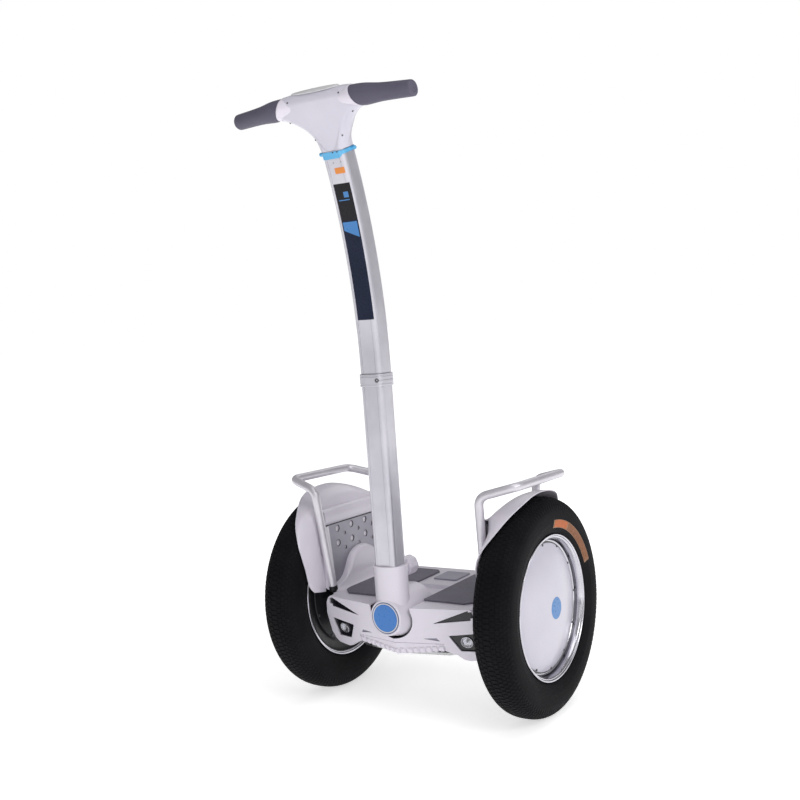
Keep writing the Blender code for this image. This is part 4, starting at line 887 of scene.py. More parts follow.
def build_collar():
    """The clamp collar: a band with rolled edges, split on its right side, and a recessed screw in front."""
    low, high = STEM_JOINT - COLLAR_HEIGHT, STEM_JOINT
    middle = (low + high) / 2
    edge = [
        (0.0, 0.0008), (0.0003, 0.0022), (0.0011, 0.0029), (0.0042, 0.0030), (0.0050, 0.0023),
        (0.0058, 0.0023),
    ]
    profile = [
        *((low + rise, proud) for rise, proud in edge), (low + 0.0068, 0.0030), (high - 0.0068, 0.0030),
        *((high - rise, proud) for rise, proud in reversed(edge)),
    ]
    outer = [stem_loop(-proud - GAP, (STEM_Y, z, 0.0)) for z, proud in profile]
    inner = [stem_loop(-GAP, (STEM_Y, z, 0.0)) for z in (low, high)]
    screw_x = 0.0185
    screw_place = (screw_x, STEM_Y - STEM_HALF_Y, middle)
    split = [(screw_x, -0.05), (0.04, -0.05), (0.04, 0.05), (screw_x, 0.05)]
    split = moved(
        prism(split, "Z", middle - 0.0004, middle + 0.0004), Matrix.Translation((0.0, STEM_Y, 0.0))
    )
    seat = [(-0.006, 0.0), (-0.006, 0.0048), (-0.0012, 0.0048), (-0.0012, 0.0)]
    band = combined(tube(outer, inner), "DIFFERENCE", split, turned(seat, "Y", screw_place, 32))
    add_brushed("stem_collar_band", band, 30, "steering", "stem_collar")
    head = [
        (-0.0003, 0.0), (-0.0003, 0.0046), (-0.0012, 0.0044), (-0.0016, 0.0038), (-0.0016, 0.0022),
        (-0.0006, 0.0020), (-0.0006, 0.0),
    ]
    add("stem_collar_screw", turned(head, "Y", screw_place, 32), "dark_steel", "steering")


def small_heads(name, look, across, height, lift=0.0):
    """Small round heads on the curved front of the stem, at places across it."""
    radius = 0.0014
    head = [(0.0006, 0.0), (0.0006, radius), (-0.0004, radius), (-0.0008, radius * 0.6), (-0.0008, 0.0)]
    heads = [turned(head, "Y", stem_front(x, stem_place_at(height), lift), 16) for x in across]
    add(name, joined(*heads), look, "handlebar")


def build_ring():
    """The blue ring round the stem's top: a band, a tab that hangs down in front, an ear on each side."""
    band_low, band_high = 0.0098, 0.0013  # below the stem's end

    def at(below):
        return stem_place(STEM_LEAN - below / STEM_ARC)

    edges = [
        (band_low, 0.0008), (band_low - 0.0005, 0.0018), (band_high + 0.0008, 0.0022), (band_high, 0.0014),
    ]
    outer = [stem_loop(-proud, at(below)) for below, proud in edges]
    inner = [stem_loop(-GAP, at(below)) for below in (band_low, band_high)]
    rows = []
    left, right, drop = -0.0250, 0.0235, 0.0072
    for k in range(9):
        share = k / 8
        place = at(band_low - 0.001 + drop * share)
        end = right - 0.0085 * share**2
        rows.append([stem_front(left + (end - left) * i / 24, place, 0.0016) for i in range(25)])
    parts = [tube(outer, inner), sheet_mesh(rows, (0.0, 0.0011, 0.0))]
    ear = [
        (-0.004, 0.0), (-0.004, 0.0042), (0.0066, 0.0042), (0.0086, 0.0034), (0.0094, 0.0018),
        (0.0094, 0.0),
    ]
    y, z, lean = at(0.0056)
    for sign, out in ((-1, 0.014), (1, -0.010)):
        centre = (sign * (STEM_HALF_X + 0.001), y - out * cos(lean), z - out * sin(lean))
        parts.append(turned(sided(ear, sign), "X", centre, 24))
    add("stem_ring_band", joined(*parts), "sky_plastic", "handlebar", "stem_ring", angle=40)
    small_heads("stem_ring_screws", "dark_steel", (0.0045, 0.0150), at(0.0030)[1], 0.0026)


def stem_sheet(name, look, low, high, left, right, lift, slant=0.0):
    """A thin plain sheet on the curved front of the stem, between two heights. Slant tilts its lower edge."""
    rows = []
    for k in range(25):
        row = []
        for i in range(13):
            x = left + (right - left) * i / 12
            bottom = low + slant * (x - left)
            row.append(stem_front(x, stem_place_at(bottom + (high - bottom) * k / 24), lift))
        rows.append(row)
    add(name, sheet_mesh(rows, (0.0, 0.00025, 0.0)), look, "handlebar", angle=30)


def build_labels():
    """The label strip without words: two plain dark blocks with blue patches, and an orange one above."""
    left, right = -0.0155, 0.0235
    stem_sheet("label_lower", "label_navy", 0.873, 1.082, left, right, 0.0003)
    stem_sheet("label_wedge", "spot_blue", 1.062, 1.079, left + 0.0022, right - 0.0022, 0.0005, -0.45)
    stem_sheet("label_upper", "label_black", 1.082, 1.157, left, right, 0.0003)
    stem_sheet("label_patch", "spot_blue", 1.1285, 1.1400, 0.0040, 0.0160, 0.0005)
    stem_sheet("label_line", "spot_blue", 1.1225, 1.1245, -0.0100, 0.0160, 0.0005)
    stem_sheet("label_rating", "label_orange", 1.1765, 1.1885, -0.0030, 0.0210, 0.0005)
    small_heads("stem_screws", "steel", (-0.0020, 0.0165), 1.1985)


# Stem base, badge and knob


def build_stem_base():
    """The round hub and the oval column that holds the stem, cast in one with soft corners."""
    middle = (0.0, 0.0, PIVOT_Z)
    seat = BADGE_RADIUS + 0.0004
    profile = starting(HUB_FRONT, [
        (0.0013, 0.0), (0.0013, seat), (0.0, seat), (0.0, 0.0370), (0.0010, 0.0384), (0.004, 0.0396),
        (0.012, HUB_NOSE_RADIUS), (0.022, 0.0436), (0.032, 0.0468), (0.042, 0.0496), (0.052, HUB_RADIUS),
    ])
    profile += [
        (HUB_REAR - 0.006, HUB_RADIUS), (HUB_REAR - 0.002, HUB_RADIUS - 0.002),
        (HUB_REAR, HUB_RADIUS - 0.006), (HUB_REAR, 0.0),
    ]
    oval = [(BASE_HALF_X * sin(turn), STEM_Y + BASE_HALF_Y * cos(turn)) for turn in full_turns(72)]
    boss = [(0.026, 0.0), (0.026, 0.0130), (0.0465, 0.0130), (0.0465, 0.0)]
    whole = combined(
        turned(profile, "Y", middle), "UNION", prism(oval, "Z", PIVOT_Z - 0.01, BASE_TOP),
        turned(boss, "Y", (0.0, STEM_Y, KNOB_Z), 48),
    )
    socket = [(x, y + STEM_Y) for x, y in round_rect(STEM_HALF_X + GAP, STEM_HALF_Y + GAP, STEM_CORNER)]
    bore = [(-0.1608, 0.0), (-0.1608, 0.0163), (HUB_REAR + 0.01, 0.0163), (HUB_REAR + 0.01, 0.0)]
    whole = combined(
        whole, "DIFFERENCE", prism(socket, "Z", STEM_BOTTOM - GAP, BASE_TOP + 0.01),
        turned(bore, "Y", middle, 48),
    )
    add("stem_base_casting", melted(whole, 0.0008), "white_plastic", "steering", "stem_base", angle=None)


def build_badge():
    """The plain round badge: a blue disc in a pale ring with a dark outline."""
    front = HUB_FRONT
    centre = (0.0, 0.0, PIVOT_Z)
    outline = starting(front, [
        (-0.0001, 0.0326), (-0.0004, 0.0332), (-0.0001, BADGE_RADIUS), (0.0010, BADGE_RADIUS),
        (0.0010, 0.0326),
    ])
    add("base_badge_outline", turned(outline, "Y", centre), "outline_blue", "steering", "base_badge")
    pale = starting(front, [
        (-0.0003, 0.0300), (-0.0006, 0.0306), (-0.0006, 0.0320), (-0.0003, 0.0325), (0.0010, 0.0325),
        (0.0010, 0.0300),
    ])
    add("base_badge_ring", turned(pale, "Y", centre), "label_pale", "steering")
    disc = [
        (front - 0.0010, 0.0),
        *((front - 0.0010 + 0.0006 * (k / 6) ** 2, 0.0298 * k / 6) for k in range(1, 7)),
        (front + 0.0010, 0.0299), (front + 0.0010, 0.0),
    ]
    add("base_badge_disc", turned(disc, "Y", centre), "blue_plastic", "steering")


def build_knob():
    """The fluted clamp knob with its dished end, and its screw."""
    start, end = KNOB_BACK - 0.0395, KNOB_BACK - 0.006
    loops = []
    for share, y in (
        (0.88, start), (0.95, start + 0.0008), (0.99, start + 0.0024), (1.0, start + 0.0045),
        (1.0, end - 0.0048), (0.985, end - 0.0022), (0.93, end - 0.0006), (0.86, end), (0.72, end),
        (0.66, end - 0.0008), (0.60, end - 0.0010),
    ):
        loop = []
        for turn in full_turns(144):
            radius = (KNOB_RADIUS - 0.0016 + 0.0018 * abs(cos(4 * turn)) ** 0.7) * share
            loop.append((radius * sin(turn), y, KNOB_Z + radius * cos(turn)))
        loops.append(loop)
    add("clamp_knob_grip", swept(loops), "white_plastic", "knob", "clamp_knob", angle=40)
    tip = STEM_Y + STEM_HALF_Y + 2 * GAP
    screw = [(tip, 0.0), (tip, 0.0042), (tip + 0.0008, 0.0050), (start, 0.0050), (start, 0.0)]
    add("clamp_knob_screw", turned(screw, "Y", (0.0, 0.0, KNOB_Z), 32), "steel", "knob")


# Handlebar head


def head_point(u, v, w):
    """A point of the head: u to the side, v backwards and w up along the leaning head."""
    y, z, _ = stem_place(STEM_LEAN)
    share = min(max(w / HEAD_SET_TOP, 0.0), 1.0)
    y += HEAD_SET * sin(pi * share) ** 2
    return (
        u,
        y + v * cos(HEAD_LEAN) - w * sin(HEAD_LEAN),
        z + v * sin(HEAD_LEAN) + w * cos(HEAD_LEAN),
    )


def grip_loop(u, radius, slant=0.0):
    """One ring round the grip's axis. A slanted ring leans like the head's side."""
    beyond = max(abs(u) - GRIP_INNER, 0.0)
    middle_v = GRIP_SWEEP * beyond - GRIP_FORWARD
    middle_w = GRIP_HEIGHT - GRIP_DROOP * beyond
    side = 1 if u > 0 else -1
    loop = []
    for turn in full_turns(48, 0.5):
        v, w = radius * sin(turn), radius * cos(turn)
        loop.append(head_point(u - side * slant * w, middle_v + v, middle_w + w))
    return loop


def head_depth(w):
    """How far the head's front face lies ahead of its parting line."""
    return 0.0265 - 0.09 * max(w, 0.0)


def head_ring(drop):
    """The head's outline drawn in by a drop: a curved flank, a straight slanted side and rounded corners."""
    half = [
        (0.0, -0.020), (0.0320, -0.020), (0.0335, 0.002), (0.0370, 0.020), (0.0460, 0.0385),
        (0.0620, 0.0575), (0.0860, 0.0730), (0.1040, 0.0782), (0.0851, 0.1222),
        (0.0640, HEAD_TOP), (0.0, HEAD_TOP),
    ]
    whole = inset(mirrored(half), drop)[: len(half)]
    flank = [(p.x, p.y) for p in spline(whole[1:8], 6)]
    before, side_low, side_high, top = flank[-4], whole[7], whole[8], whole[9]
    radius = max(0.0040 - 0.5 * drop, 0.0012)
    corners = [
        (*before, 0.0), (*side_low, radius), (*side_high, radius), (*top, 0.0), (0.0, top[1], 0.0),
    ]
    turned_corners = rounded(corners, 5)[1:-2]
    top_line = [(top[0] * (1 - k / 4), top[1]) for k in range(5)]
    right = [(0.0, whole[0][1]), *flank[:-3], *turned_corners, *top_line]
    return mirrored(right)


def head_shell(direction, depth_of, shrink, levels=8):
    """Loops that round the head over from its parting line to its face."""
    loops = []
    for turn in quarter_turns(levels):
        drop, share = 0.016 * (1 - cos(turn)) ** 0.8, sin(turn)
        loops.append([
            head_point(u, direction * (depth_of(w) - shrink) * share, w) for u, w in head_ring(drop + shrink)
        ])
    return loops


def shifted(loop, distance):
    """Moves points of the head along its depth."""
    move = Vector(head_point(0.0, distance, 0.0)) - Vector(head_point(0.0, 0.0, 0.0))
    return [Vector(p) + move for p in loop]


def build_head():
    """The head's two hollow covers, their screws, found on the front cover's face, and the display panel."""
    end_y, end_z, _ = stem_place(STEM_LEAN)
    across = Vector((0.0, cos(STEM_LEAN), sin(STEM_LEAN)))
    along = Vector((0.0, -sin(STEM_LEAN), cos(STEM_LEAN)))
    end = Vector((0.0, end_y, end_z))
    side_u = Vector((1.0, 0.0, 0.0))
    half = 0.060
    corners = ((-half, -half), (half, -half), (half, half), (-half, half))
    for name, direction, depth_of in (
        ("head_front_cover", -1, head_depth), ("head_rear_cover", 1, lambda w: HEAD_BACK),
    ):
        outer = [shifted(loop, direction * GAP) for loop in head_shell(direction, depth_of, 0.0)]
        hollow = head_shell(direction, depth_of, 0.003, 4)
        hollow[0] = shifted(hollow[0], -direction * 0.004)
        stem_room = swept([
            [end + along * height + across * v + side_u * u for u, v in corners]
            for height in (-0.060, 0.0006)
        ])
        relief = swept([grip_loop(u, BAR_ROOM) for u in (-0.12, -GRIP_INNER, GRIP_INNER, 0.12)])
        shell = combined(swept(outer), "DIFFERENCE", swept(hollow), stem_room, relief)
        if direction < 0:
            points, polygons = shell.vertices, shell.polygons
            front_face = BVHTree.FromPolygons([v.co for v in points], [p.vertices for p in polygons])
        # The covers' plastic is darker: their own greyer tone, and painted shade.
        add(f"{name}_shell", shell, "cover_plastic", "handlebar", name, angle=32)

    heads = []
    facing = Vector(head_point(0.0, -1.0, 0.0)) - Vector(head_point(0.0, 0.0, 0.0))
    turn = facing.to_track_quat("Z", "Y").to_matrix().to_4x4()
    screw = [(0.0005, 0.0), (0.0005, 0.0016), (0.0002, 0.0020), (-0.003, 0.0020), (-0.003, 0.0)]
    for u, w in ((0.0633, 0.1154), (0.0776, 0.0759), (0.0330, 0.0339)):
        for sign in (-1, 1):
            place = front_face.ray_cast(Vector(head_point(sign * u, -0.1, w)), -facing)[0]
            heads.append(moved(turned(screw, "Z", (0.0, 0.0, 0.0), 20), Matrix.Translation(place) @ turn))
    add("head_screws", joined(*heads), "dark_steel", "handlebar")

    panel = []
    for w, shrink in ((GAP, 0.0), (0.0012, 0.0), (0.0021, 0.0010), (0.0026, 0.0030)):
        half_u, half_v = 0.0600 - shrink, 0.0105 - shrink
        panel.append([
            head_point(half_u * cos(turn), 0.0040 + half_v * sin(turn), HEAD_TOP + w)
            for turn in full_turns(64, 0.5)
        ])
    add("display_panel_face", swept(panel), "pale_grey_plastic", "handlebar", "display_panel", angle=40)


def build_sockets():
    """White flared rings on the head that hold the grips' inner ends."""
    flare = [
        (0.0340, 0.0150), (0.0260, 0.0166), (0.0180, 0.0182), (0.0100, 0.0198), (0.0040, 0.0209),
        (0.0012, 0.0213), (GAP, 0.0208),
    ]
    bore = [(0.0340, BAR_ROOM), (GAP, BAR_ROOM)]
    for side, sign in SIDES:
        outer, inner = (
            [grip_loop(sign * (GRIP_INNER - inside), radius, GRIP_SLANT) for inside, radius in profile]
            for profile in (flare, bore)
        )
        add(f"head_socket_{side}", tube(outer, inner), "white_plastic", "handlebar", angle=40)


def build_grips():
    """The rubber grips: thick at the head, slimmer outside, with a round dimpled end."""
    length = GRIP_OUTER - GRIP_INNER
    bore = GRIP_OUTER - 0.012
    radii = [
        (0.0, GRIP_THICK), (0.16, GRIP_THICK - 0.0004), (0.44, GRIP_THIN + 0.0018), (0.95, GRIP_THIN),
        (1.0, GRIP_THIN),
    ]
    stations = [
        (bore, BAR_RADIUS + 0.0009, 0.0), (GRIP_INNER, BAR_RADIUS + 0.0009, GRIP_SLANT),
        (GRIP_INNER, GRIP_THICK - 0.0016, GRIP_SLANT), (GRIP_INNER + 0.0006, GRIP_THICK - 0.0004, GRIP_SLANT),
    ]
    for k in range(1, 15):
        share = 0.94 * k / 14
        slant = GRIP_SLANT * max(1 - share / 0.16, 0.0)
        stations.append((GRIP_INNER + length * share, curved(radii, share), slant))
    for turn in quarter_turns(6)[1:]:
        stations.append((GRIP_OUTER - 0.0055 * (1 - sin(turn)), GRIP_THIN - 0.0055 * (1 - cos(turn)), 0.0))
    dimple = GRIP_OUTER - 0.0010
    stations += [(GRIP_OUTER, 0.0085, 0.0), (dimple, 0.0080, 0.0), (dimple, 0.0006, 0.0)]
    for side, sign in SIDES:
        loops = [grip_loop(sign * u, radius, slant) for u, radius, slant in stations]
        mesh = tube(loops[1:], [loops[0], grip_loop(sign * bore, 0.0006)])
        add(f"grip_{side}_sleeve", mesh, "grip_rubber", "handlebar", f"grip_{side}", angle=40)


# Rails, fenders, plates and arch covers


def rail_points(sign):
    """The bent tube's centre line: up the front leg, out over the fender, back and down again."""
    corners = [
        (0.1990, -0.1020, DECK_Z + GAP, 0.0), (0.2062, -0.1125, 0.360, 0.10),
        (0.2120, -0.1270, 0.4920, 0.026), (0.2935, -0.1030, 0.5128, 0.030),
        (0.2905, 0.1120, 0.5065, 0.026), (0.2130, 0.1375, 0.4860, 0.026),
        (0.2062, 0.1245, 0.360, 0.10), (0.1990, 0.1150, DECK_Z + GAP, 0.0),
    ]
    points = []
    for i, (x, y, z, radius) in enumerate(corners):
        here = Vector((sign * x, y, z))
        if radius == 0.0:
            points.append(here)
            continue
        before = Vector((sign * corners[i - 1][0], *corners[i - 1][1:3]))
        after = Vector((sign * corners[i + 1][0], *corners[i + 1][1:3]))
        into, out = (before - here).normalized(), (after - here).normalized()
        half = into.angle(out) / 2
        reach = min(radius / sin(half) * cos(half), 0.035)
        for step in range(15):
            t = step / 14
            start, end = here + into * reach, here + out * reach
            points.append((1 - t) ** 2 * start + 2 * t * (1 - t) * here + t**2 * end)
    return points


def pipe(points, radius):
    """A round tube along a line of points, with rounded ends."""
    loops = []
    normal = Vector((1.0, 0.0, 0.0))
    last = len(points) - 1
    ease = 0.0012
    stations = [(0, 0.0, radius - ease), (0, ease, radius)]
    stations += [(i, 0.0, radius) for i in range(1, last)]
    stations += [(last, -ease, radius), (last, 0.0, radius - ease)]
    for i, slide, r in stations:
        forward = (points[min(i + 1, last)] - points[max(i - 1, 0)]).normalized()
        normal = (normal - forward * normal.dot(forward)).normalized()
        side = forward.cross(normal)
        middle = points[i] + forward * slide
        loops.append([middle + r * (cos(turn) * normal + sin(turn) * side) for turn in full_turns(32)])
    return swept(loops)


def build_rails():
    """The bent tube of each guard, with a dark foot at each end."""
    for side, sign in SIDES:
        line = rail_points(sign)
        mesh = pipe(line, RAIL_RADIUS)
        add(f"side_rail_{side}_tube", mesh, "rail_aluminium", "chassis", f"side_rail_{side}", angle=40)
        feet = []
        for start, beyond in (line[:2], line[:-3:-1]):
            along = (beyond - start).normalized()
            feet.append(pipe([start, start + along * 0.0130], RAIL_RADIUS + 0.0006))
        mesh = eased(joined(*feet), 0.0004, 2, 40)
        add(f"side_rail_{side}_feet", mesh, "black_plastic", "chassis", angle=None)


def build_fender(side, sign):
    """A shell over the tyre's inner shoulder and crown, with a leaf that runs down ahead and behind."""
    lip = PLATE_EDGE - AXLE_Z
    edge_radius = [
        (0, 0.2495), (16, 0.2495), (24, 0.2475), (34, 0.2420), (41, 0.2390), (45, 0.2365), (49, 0.2325),
        (54, 0.2240), (58, 0.2105), (64, 0.1895), (71, 0.1745), (76, 0.1640), (80, 0.1470),
    ]
    edge_x = [
        (0, 0.2900), (8, 0.2905), (16, 0.2895), (22, 0.2840), (29, 0.2735), (33, 0.2670), (38, 0.2590),
        (43, 0.2490), (48, 0.2380), (54, 0.2275), (58, 0.2240), (80, 0.2225),
    ]
    front_leg, rear_leg = 0.1040, 0.1180
    corners = (degrees(atan2(front_leg, lip)), -degrees(atan2(rear_leg, lip)))
    columns = 18
    rows = []
    for angle in sorted({*range(-80, 81, 2), *corners}):
        turn = radians(angle)
        leg = front_leg if angle > 0 else rear_leg
        low = min(lip / cos(turn), leg / max(sin(abs(turn)), 0.05))
        high, outer = curved(edge_radius, abs(angle)), curved(edge_x, abs(angle))
        row = []
        for step in range(columns + 1):
            share = step / columns
            reach = 1 - cos(share * pi / 2) ** 0.9
            x = FENDER_X + (outer - FENDER_X) * reach
            radius = low + (high - low) * sin(share * pi / 2) ** 0.85
            row.append((sign * x, -radius * sin(turn), AXLE_Z + radius * cos(turn)))
        rows.append(row)
    faces = [quad if sign < 0 else quad[::-1] for quad in grid_faces(len(rows), columns + 1)]
    mesh = bpy.data.meshes.new("fender")
    mesh.from_pydata([p for row in rows for p in row], [], faces)
    body = placed("temporary", mesh)
    thick = body.modifiers.new("thickness", "SOLIDIFY")
    thick.thickness = FENDER_THICKNESS
    thick.offset = -1.0
    thick.use_even_offset = True
    mesh = eased(settled(body), 0.0009, 3, 50)
    add(f"fender_{side}_shell", mesh, "white_plastic", "chassis", f"fender_{side}", angle=None)


def standing(outline, sign, inner, outer):
    """A flat piece that stands upright along the vehicle, between two places across it."""
    return prism(outline, "X", *sorted((sign * inner, sign * outer)))


def build_plate(side, sign):
    """The perforated plate between the rail's legs, with a rolled lip above and a folded front edge."""
    low = DECK_Z + 0.0055
    top = PLATE_TOP
    inner, outer = PLATE_X, PLATE_X + PLATE_THICKNESS
    name = f"fender_plate_{side}"
    outline = [
        (-0.0910, low), (-0.1010, 0.360), (-0.1105, PLATE_EDGE), (0.1215, PLATE_EDGE), (0.1130, 0.360),
        (0.1030, low),
    ]
    large, small = 0.0078, 0.0040
    holes = []  # y, z, radius and steps: a large hole and then a small one, in each field of a grid
    for column in range(3):
        for row in range(2):
            y, z = -0.058 + 0.0545 * column, 0.392 - 0.034 * row
            holes += [(y, z, large, 28), (y + 0.0272, z - 0.0160, small, 20)]
    cuts = [standing(circle(*hole), sign, inner - 0.01, outer + 0.01) for hole in holes]
    plate = combined(standing(outline, sign, inner, outer), "DIFFERENCE", joined(*cuts))
    mesh = eased(plate, 0.0004, 2, 40)
    add(f"{name}_sheet", mesh, "perforated_steel", "chassis", name, angle=None)
    # Black rings on the holes' walls: painted shade inside the holes.
    rings = []
    for y, z, radius, _ in holes:
        wide, narrow = radius - 0.0002, radius - 0.0006
        ring = [(0.0002, wide), (0.0002, narrow), (0.0018, narrow), (0.0018, wide)]
        profile = [(sign * (inner + along), r) for along, r in ring]
        rings.append(turned(profile[::sign], "X", (0.0, y, z), 28))
    add(f"{name}_hole_shade_rings", joined(*rings), "black_plastic", "chassis")
    roll = [
        (inner - 0.0002, 0.4078), (inner - 0.0002, top + 0.0042), (FENDER_X - GAP, top + 0.0042),
        (FENDER_X - GAP, top + 0.0070), (0.2150, top + 0.0064), (0.2105, top + 0.0048),
        (0.2075, top + 0.0016), (0.2052, 0.4330), (0.2040, 0.4280), (0.2036, 0.4225), (0.2040, 0.4175),
        (0.2050, 0.4130), (0.2064, 0.4098), (0.2074, 0.4082),
    ]
    loops = [
        [(sign * x, y, z + drop if z < top else z) for x, z in roll]
        for y, drop in ((-0.1075, 0.0), (0.1185, -0.0035))
    ]
    add(f"{name}_lip", swept(loops), "white_plastic", "chassis", angle=50)
    # A black strip under the rolled lip: painted shadow where the lip overhangs the plate.
    shadow_line = [(-0.1015, 0.4054), (-0.1017, 0.4077), (0.1170, 0.4042), (0.1168, 0.4019)]
    mesh = standing(shadow_line, sign, inner - 0.0010, inner - 0.0002)
    add(f"{name}_joint", mesh, "black_plastic", "chassis")
    backing = [(-0.088, 0.335), (-0.098, top - 0.006), (0.112, top - 0.006), (0.104, 0.335)]
    mesh = eased(standing(backing, sign, outer + 0.0004, outer + 0.0016), 0.0003, 2)
    add(f"{name}_backing", mesh, "white_plastic", "chassis", angle=None)
    ring = round_rect(0.0016, 0.0056, 0.0010, 3)
    fold = [
        [(sign * (inner - 0.0020 + u), y + v, z) for u, v in ring]
        for y, z in ((-0.0870, low), (-0.0965, 0.360), (-0.1010, 0.4050))
    ]
    add(f"{name}_fold", swept(fold), "rail_aluminium", "chassis")
    web = rounded([
        (0.2035, DECK_Z + 0.004, 0.002), (0.2215, DECK_Z - 0.002, 0.010), (0.2215, 0.335, 0.0),
        (0.2080, 0.335, 0.0),
    ])
    mesh = eased(prism(sided(web, sign), "Y", -0.1045, -0.1020), 0.0006, 2)
    add(f"{name}_web", mesh, "white_plastic", "chassis", angle=None)


def build_arch(side, sign):
    """The bell-shaped cover against the fender plate, which flows down into the deck and along its edge."""
    outer = PLATE_X - GAP
    face, toe = outer - 0.0165, 0.1780
    base = DECK_Z + GAP
    middle = 0.022
    bell = [
        (0.0, 0.3390), (0.016, 0.3376), (0.030, 0.3325), (0.041, 0.3265), (0.052, 0.3145), (0.060, 0.3030),
        (0.070, 0.2870), (0.083, 0.2757), (0.098, 0.2705), (0.108, 0.2680), (0.126, 0.2650),
    ]
    turns = quarter_turns(8)
    loops = []
    for step in range(81):
        y = -0.126 + 0.208 * step / 80
        top = curved(bell, abs(y))
        rise = min(top - base - 0.002, 0.026)
        bend = min(0.0150, (top - base - rise) * 0.9 + 0.0015)
        loop = [(outer, base), (toe, base)]
        loop += [(toe + (face - toe) * sin(turn), base + rise * (1 - cos(turn))) for turn in turns[1:]]
        for k, turn in enumerate(turns):
            z = max(top - bend + bend * sin(turn), base + rise + 0.0002 * k)
            loop.append((face + bend * (1 - cos(turn)), z))
        loop.append((outer, loop[-1][1]))
        loops.append([(sign * x, middle + y, z) for x, z in loop])
    name = f"arch_cover_{side}"
    add(f"{name}_shell", swept(loops), "white_plastic", "chassis", name, angle=40)


def build_guards():
    build_rails()
    for side, sign in SIDES:
        build_fender(side, sign)
        build_plate(side, sign)
        build_arch(side, sign)


# Platform


def nose_y(x, z, behind=0.0):
    return NOSE_Y + NOSE_SWEEP * abs(x) - NOSE_RAKE * z + behind


def nose_matrix(x, z):
    """A frame on the nose's surface whose Z axis points out of it and whose Y axis points up."""
    sign = 1 if x > 0 else -1
    out = Vector((NOSE_SWEEP * sign, -1.0, -NOSE_RAKE)).normalized()
    side = Vector((0.0, 0.0, 1.0)).cross(out).normalized()
    turn = Matrix((side, out.cross(side), out)).transposed().to_4x4()
    return Matrix.Translation((x, nose_y(x, z), z)) @ turn


def nose_slab(outline, front, back):
    return swept([[(x, nose_y(x, z, depth), z) for x, z in outline] for depth in (front, back)])


def build_headlights():
    """Each headlight: a black bezel, a chrome bowl and ring, a bulb and a clear domed lens."""
    corners = ((0.1230, 0.1940), (0.1430, 0.1585), (0.1810, 0.1585), (0.1900, 0.2020))
    opening = rounded([(*corner, 0.003) for corner in corners], 5)
    edge = 0.0114
    well = [(-0.0120, 0.0), (-0.0120, 0.0118), (0.02, 0.0118), (0.02, 0.0)]
    bowl = [(-0.0095 + 0.0062 * (k / 8) ** 2, edge * k / 8) for k in range(9)]
    bowl += [(bowl[-1][0] - 0.0006, edge), (-0.0105, 0.0)]
    ring = [
        (-0.0030, 0.0118), (-0.0012, 0.0116), (-0.0006, 0.0120), (-0.0006, 0.0129), (-0.0012, 0.0134),
        (-0.0030, 0.0134),
    ]
    bulb = [
        (-0.0090, 0.0), (-0.0090, 0.0026), (-0.0060, 0.0028), (-0.0045, 0.0022), (-0.0038, 0.0012),
        (-0.0036, 0.0),
    ]
    lens = [(-0.0024, 0.0), (-0.0024, 0.0112), (-0.0012, edge)]
    lens += [(-0.0012 + 0.0012 * (1 - (k / 6) ** 2), edge * k / 6) for k in range(5, -1, -1)]
    for side, sign in SIDES:
        place = nose_matrix(sign * LAMP_X, LAMP_Z)
        outline = inset(sided(opening, sign), -BEZEL_LAP)
        bezel = combined(
            nose_slab(outline, LENS_SEAT + GAP, LENS_SEAT + 0.0098), "DIFFERENCE",
            moved(turned(well, "Z", (0, 0, 0), 48), place),
        )
        name = f"headlight_bezel_{side}"
        add(f"{name}_tray", eased(bezel, 0.0004, 2), "gloss_black", "chassis", name, angle=None)
        for name, look, profile, steps, angle, nodes in (
            (f"headlight_bowl_{side}", "polished_rim", bowl, 48, 35, ()),
            (f"headlight_ring_{side}", "polished_rim", ring, 64, 35, ()),
            (f"headlight_bulb_{side}", "label_pale", bulb, 24, 60, ()),
            (f"headlight_lens_{side}_dome", "clear_lens", lens, 48, 35, (f"headlight_lens_{side}",)),
        ):
            mesh = moved(turned(profile, "Z", (0, 0, 0), steps), place)
            add(name, mesh, look, "chassis", *nodes, angle=angle)


def build_chin():
    """The guard along the nose's lower edge with a row of rounded ribs along its bottom."""
    ribs, steps = 15, 8
    marks = (0.00, 0.10, 0.16, 0.24, 0.50, 0.76, 0.84, 0.90)
    lifts = (0.0, 0.0, 0.55, 1.0, 1.0, 1.0, 0.55, 0.0)
    loops = []
    for step in range(ribs * steps + 1):
        x = CHIN_HALF * (2 * (step // steps + marks[step % steps]) / ribs - 1)
        bottom = CHIN_BOTTOM + 0.0110 * abs(x) / CHIN_HALF
        back = nose_y(x, bottom, CHIN_DEPTH)
        proud = 0.0042 * lifts[step % steps]
        lip = bottom + 0.0130
        front = (  # height and depth behind the nose's surface
            (CHIN_TOP, 0.0022), (CHIN_TOP - 0.0012, 0.0004), (lip + 0.0020, 0.0004),
            (lip - 0.0015, 0.0024 - proud),
        )
        loops.append([
            (x, nose_y(x, bottom, 0.0040 - proud), bottom + 0.0008), (x, back, bottom), (x, back, CHIN_TOP),
            *((x, nose_y(x, z, depth), z) for z, depth in front),
        ])
    add("chin_guard_ribbed", swept(loops), "white_plastic", "chassis", "chin_guard", angle=30)


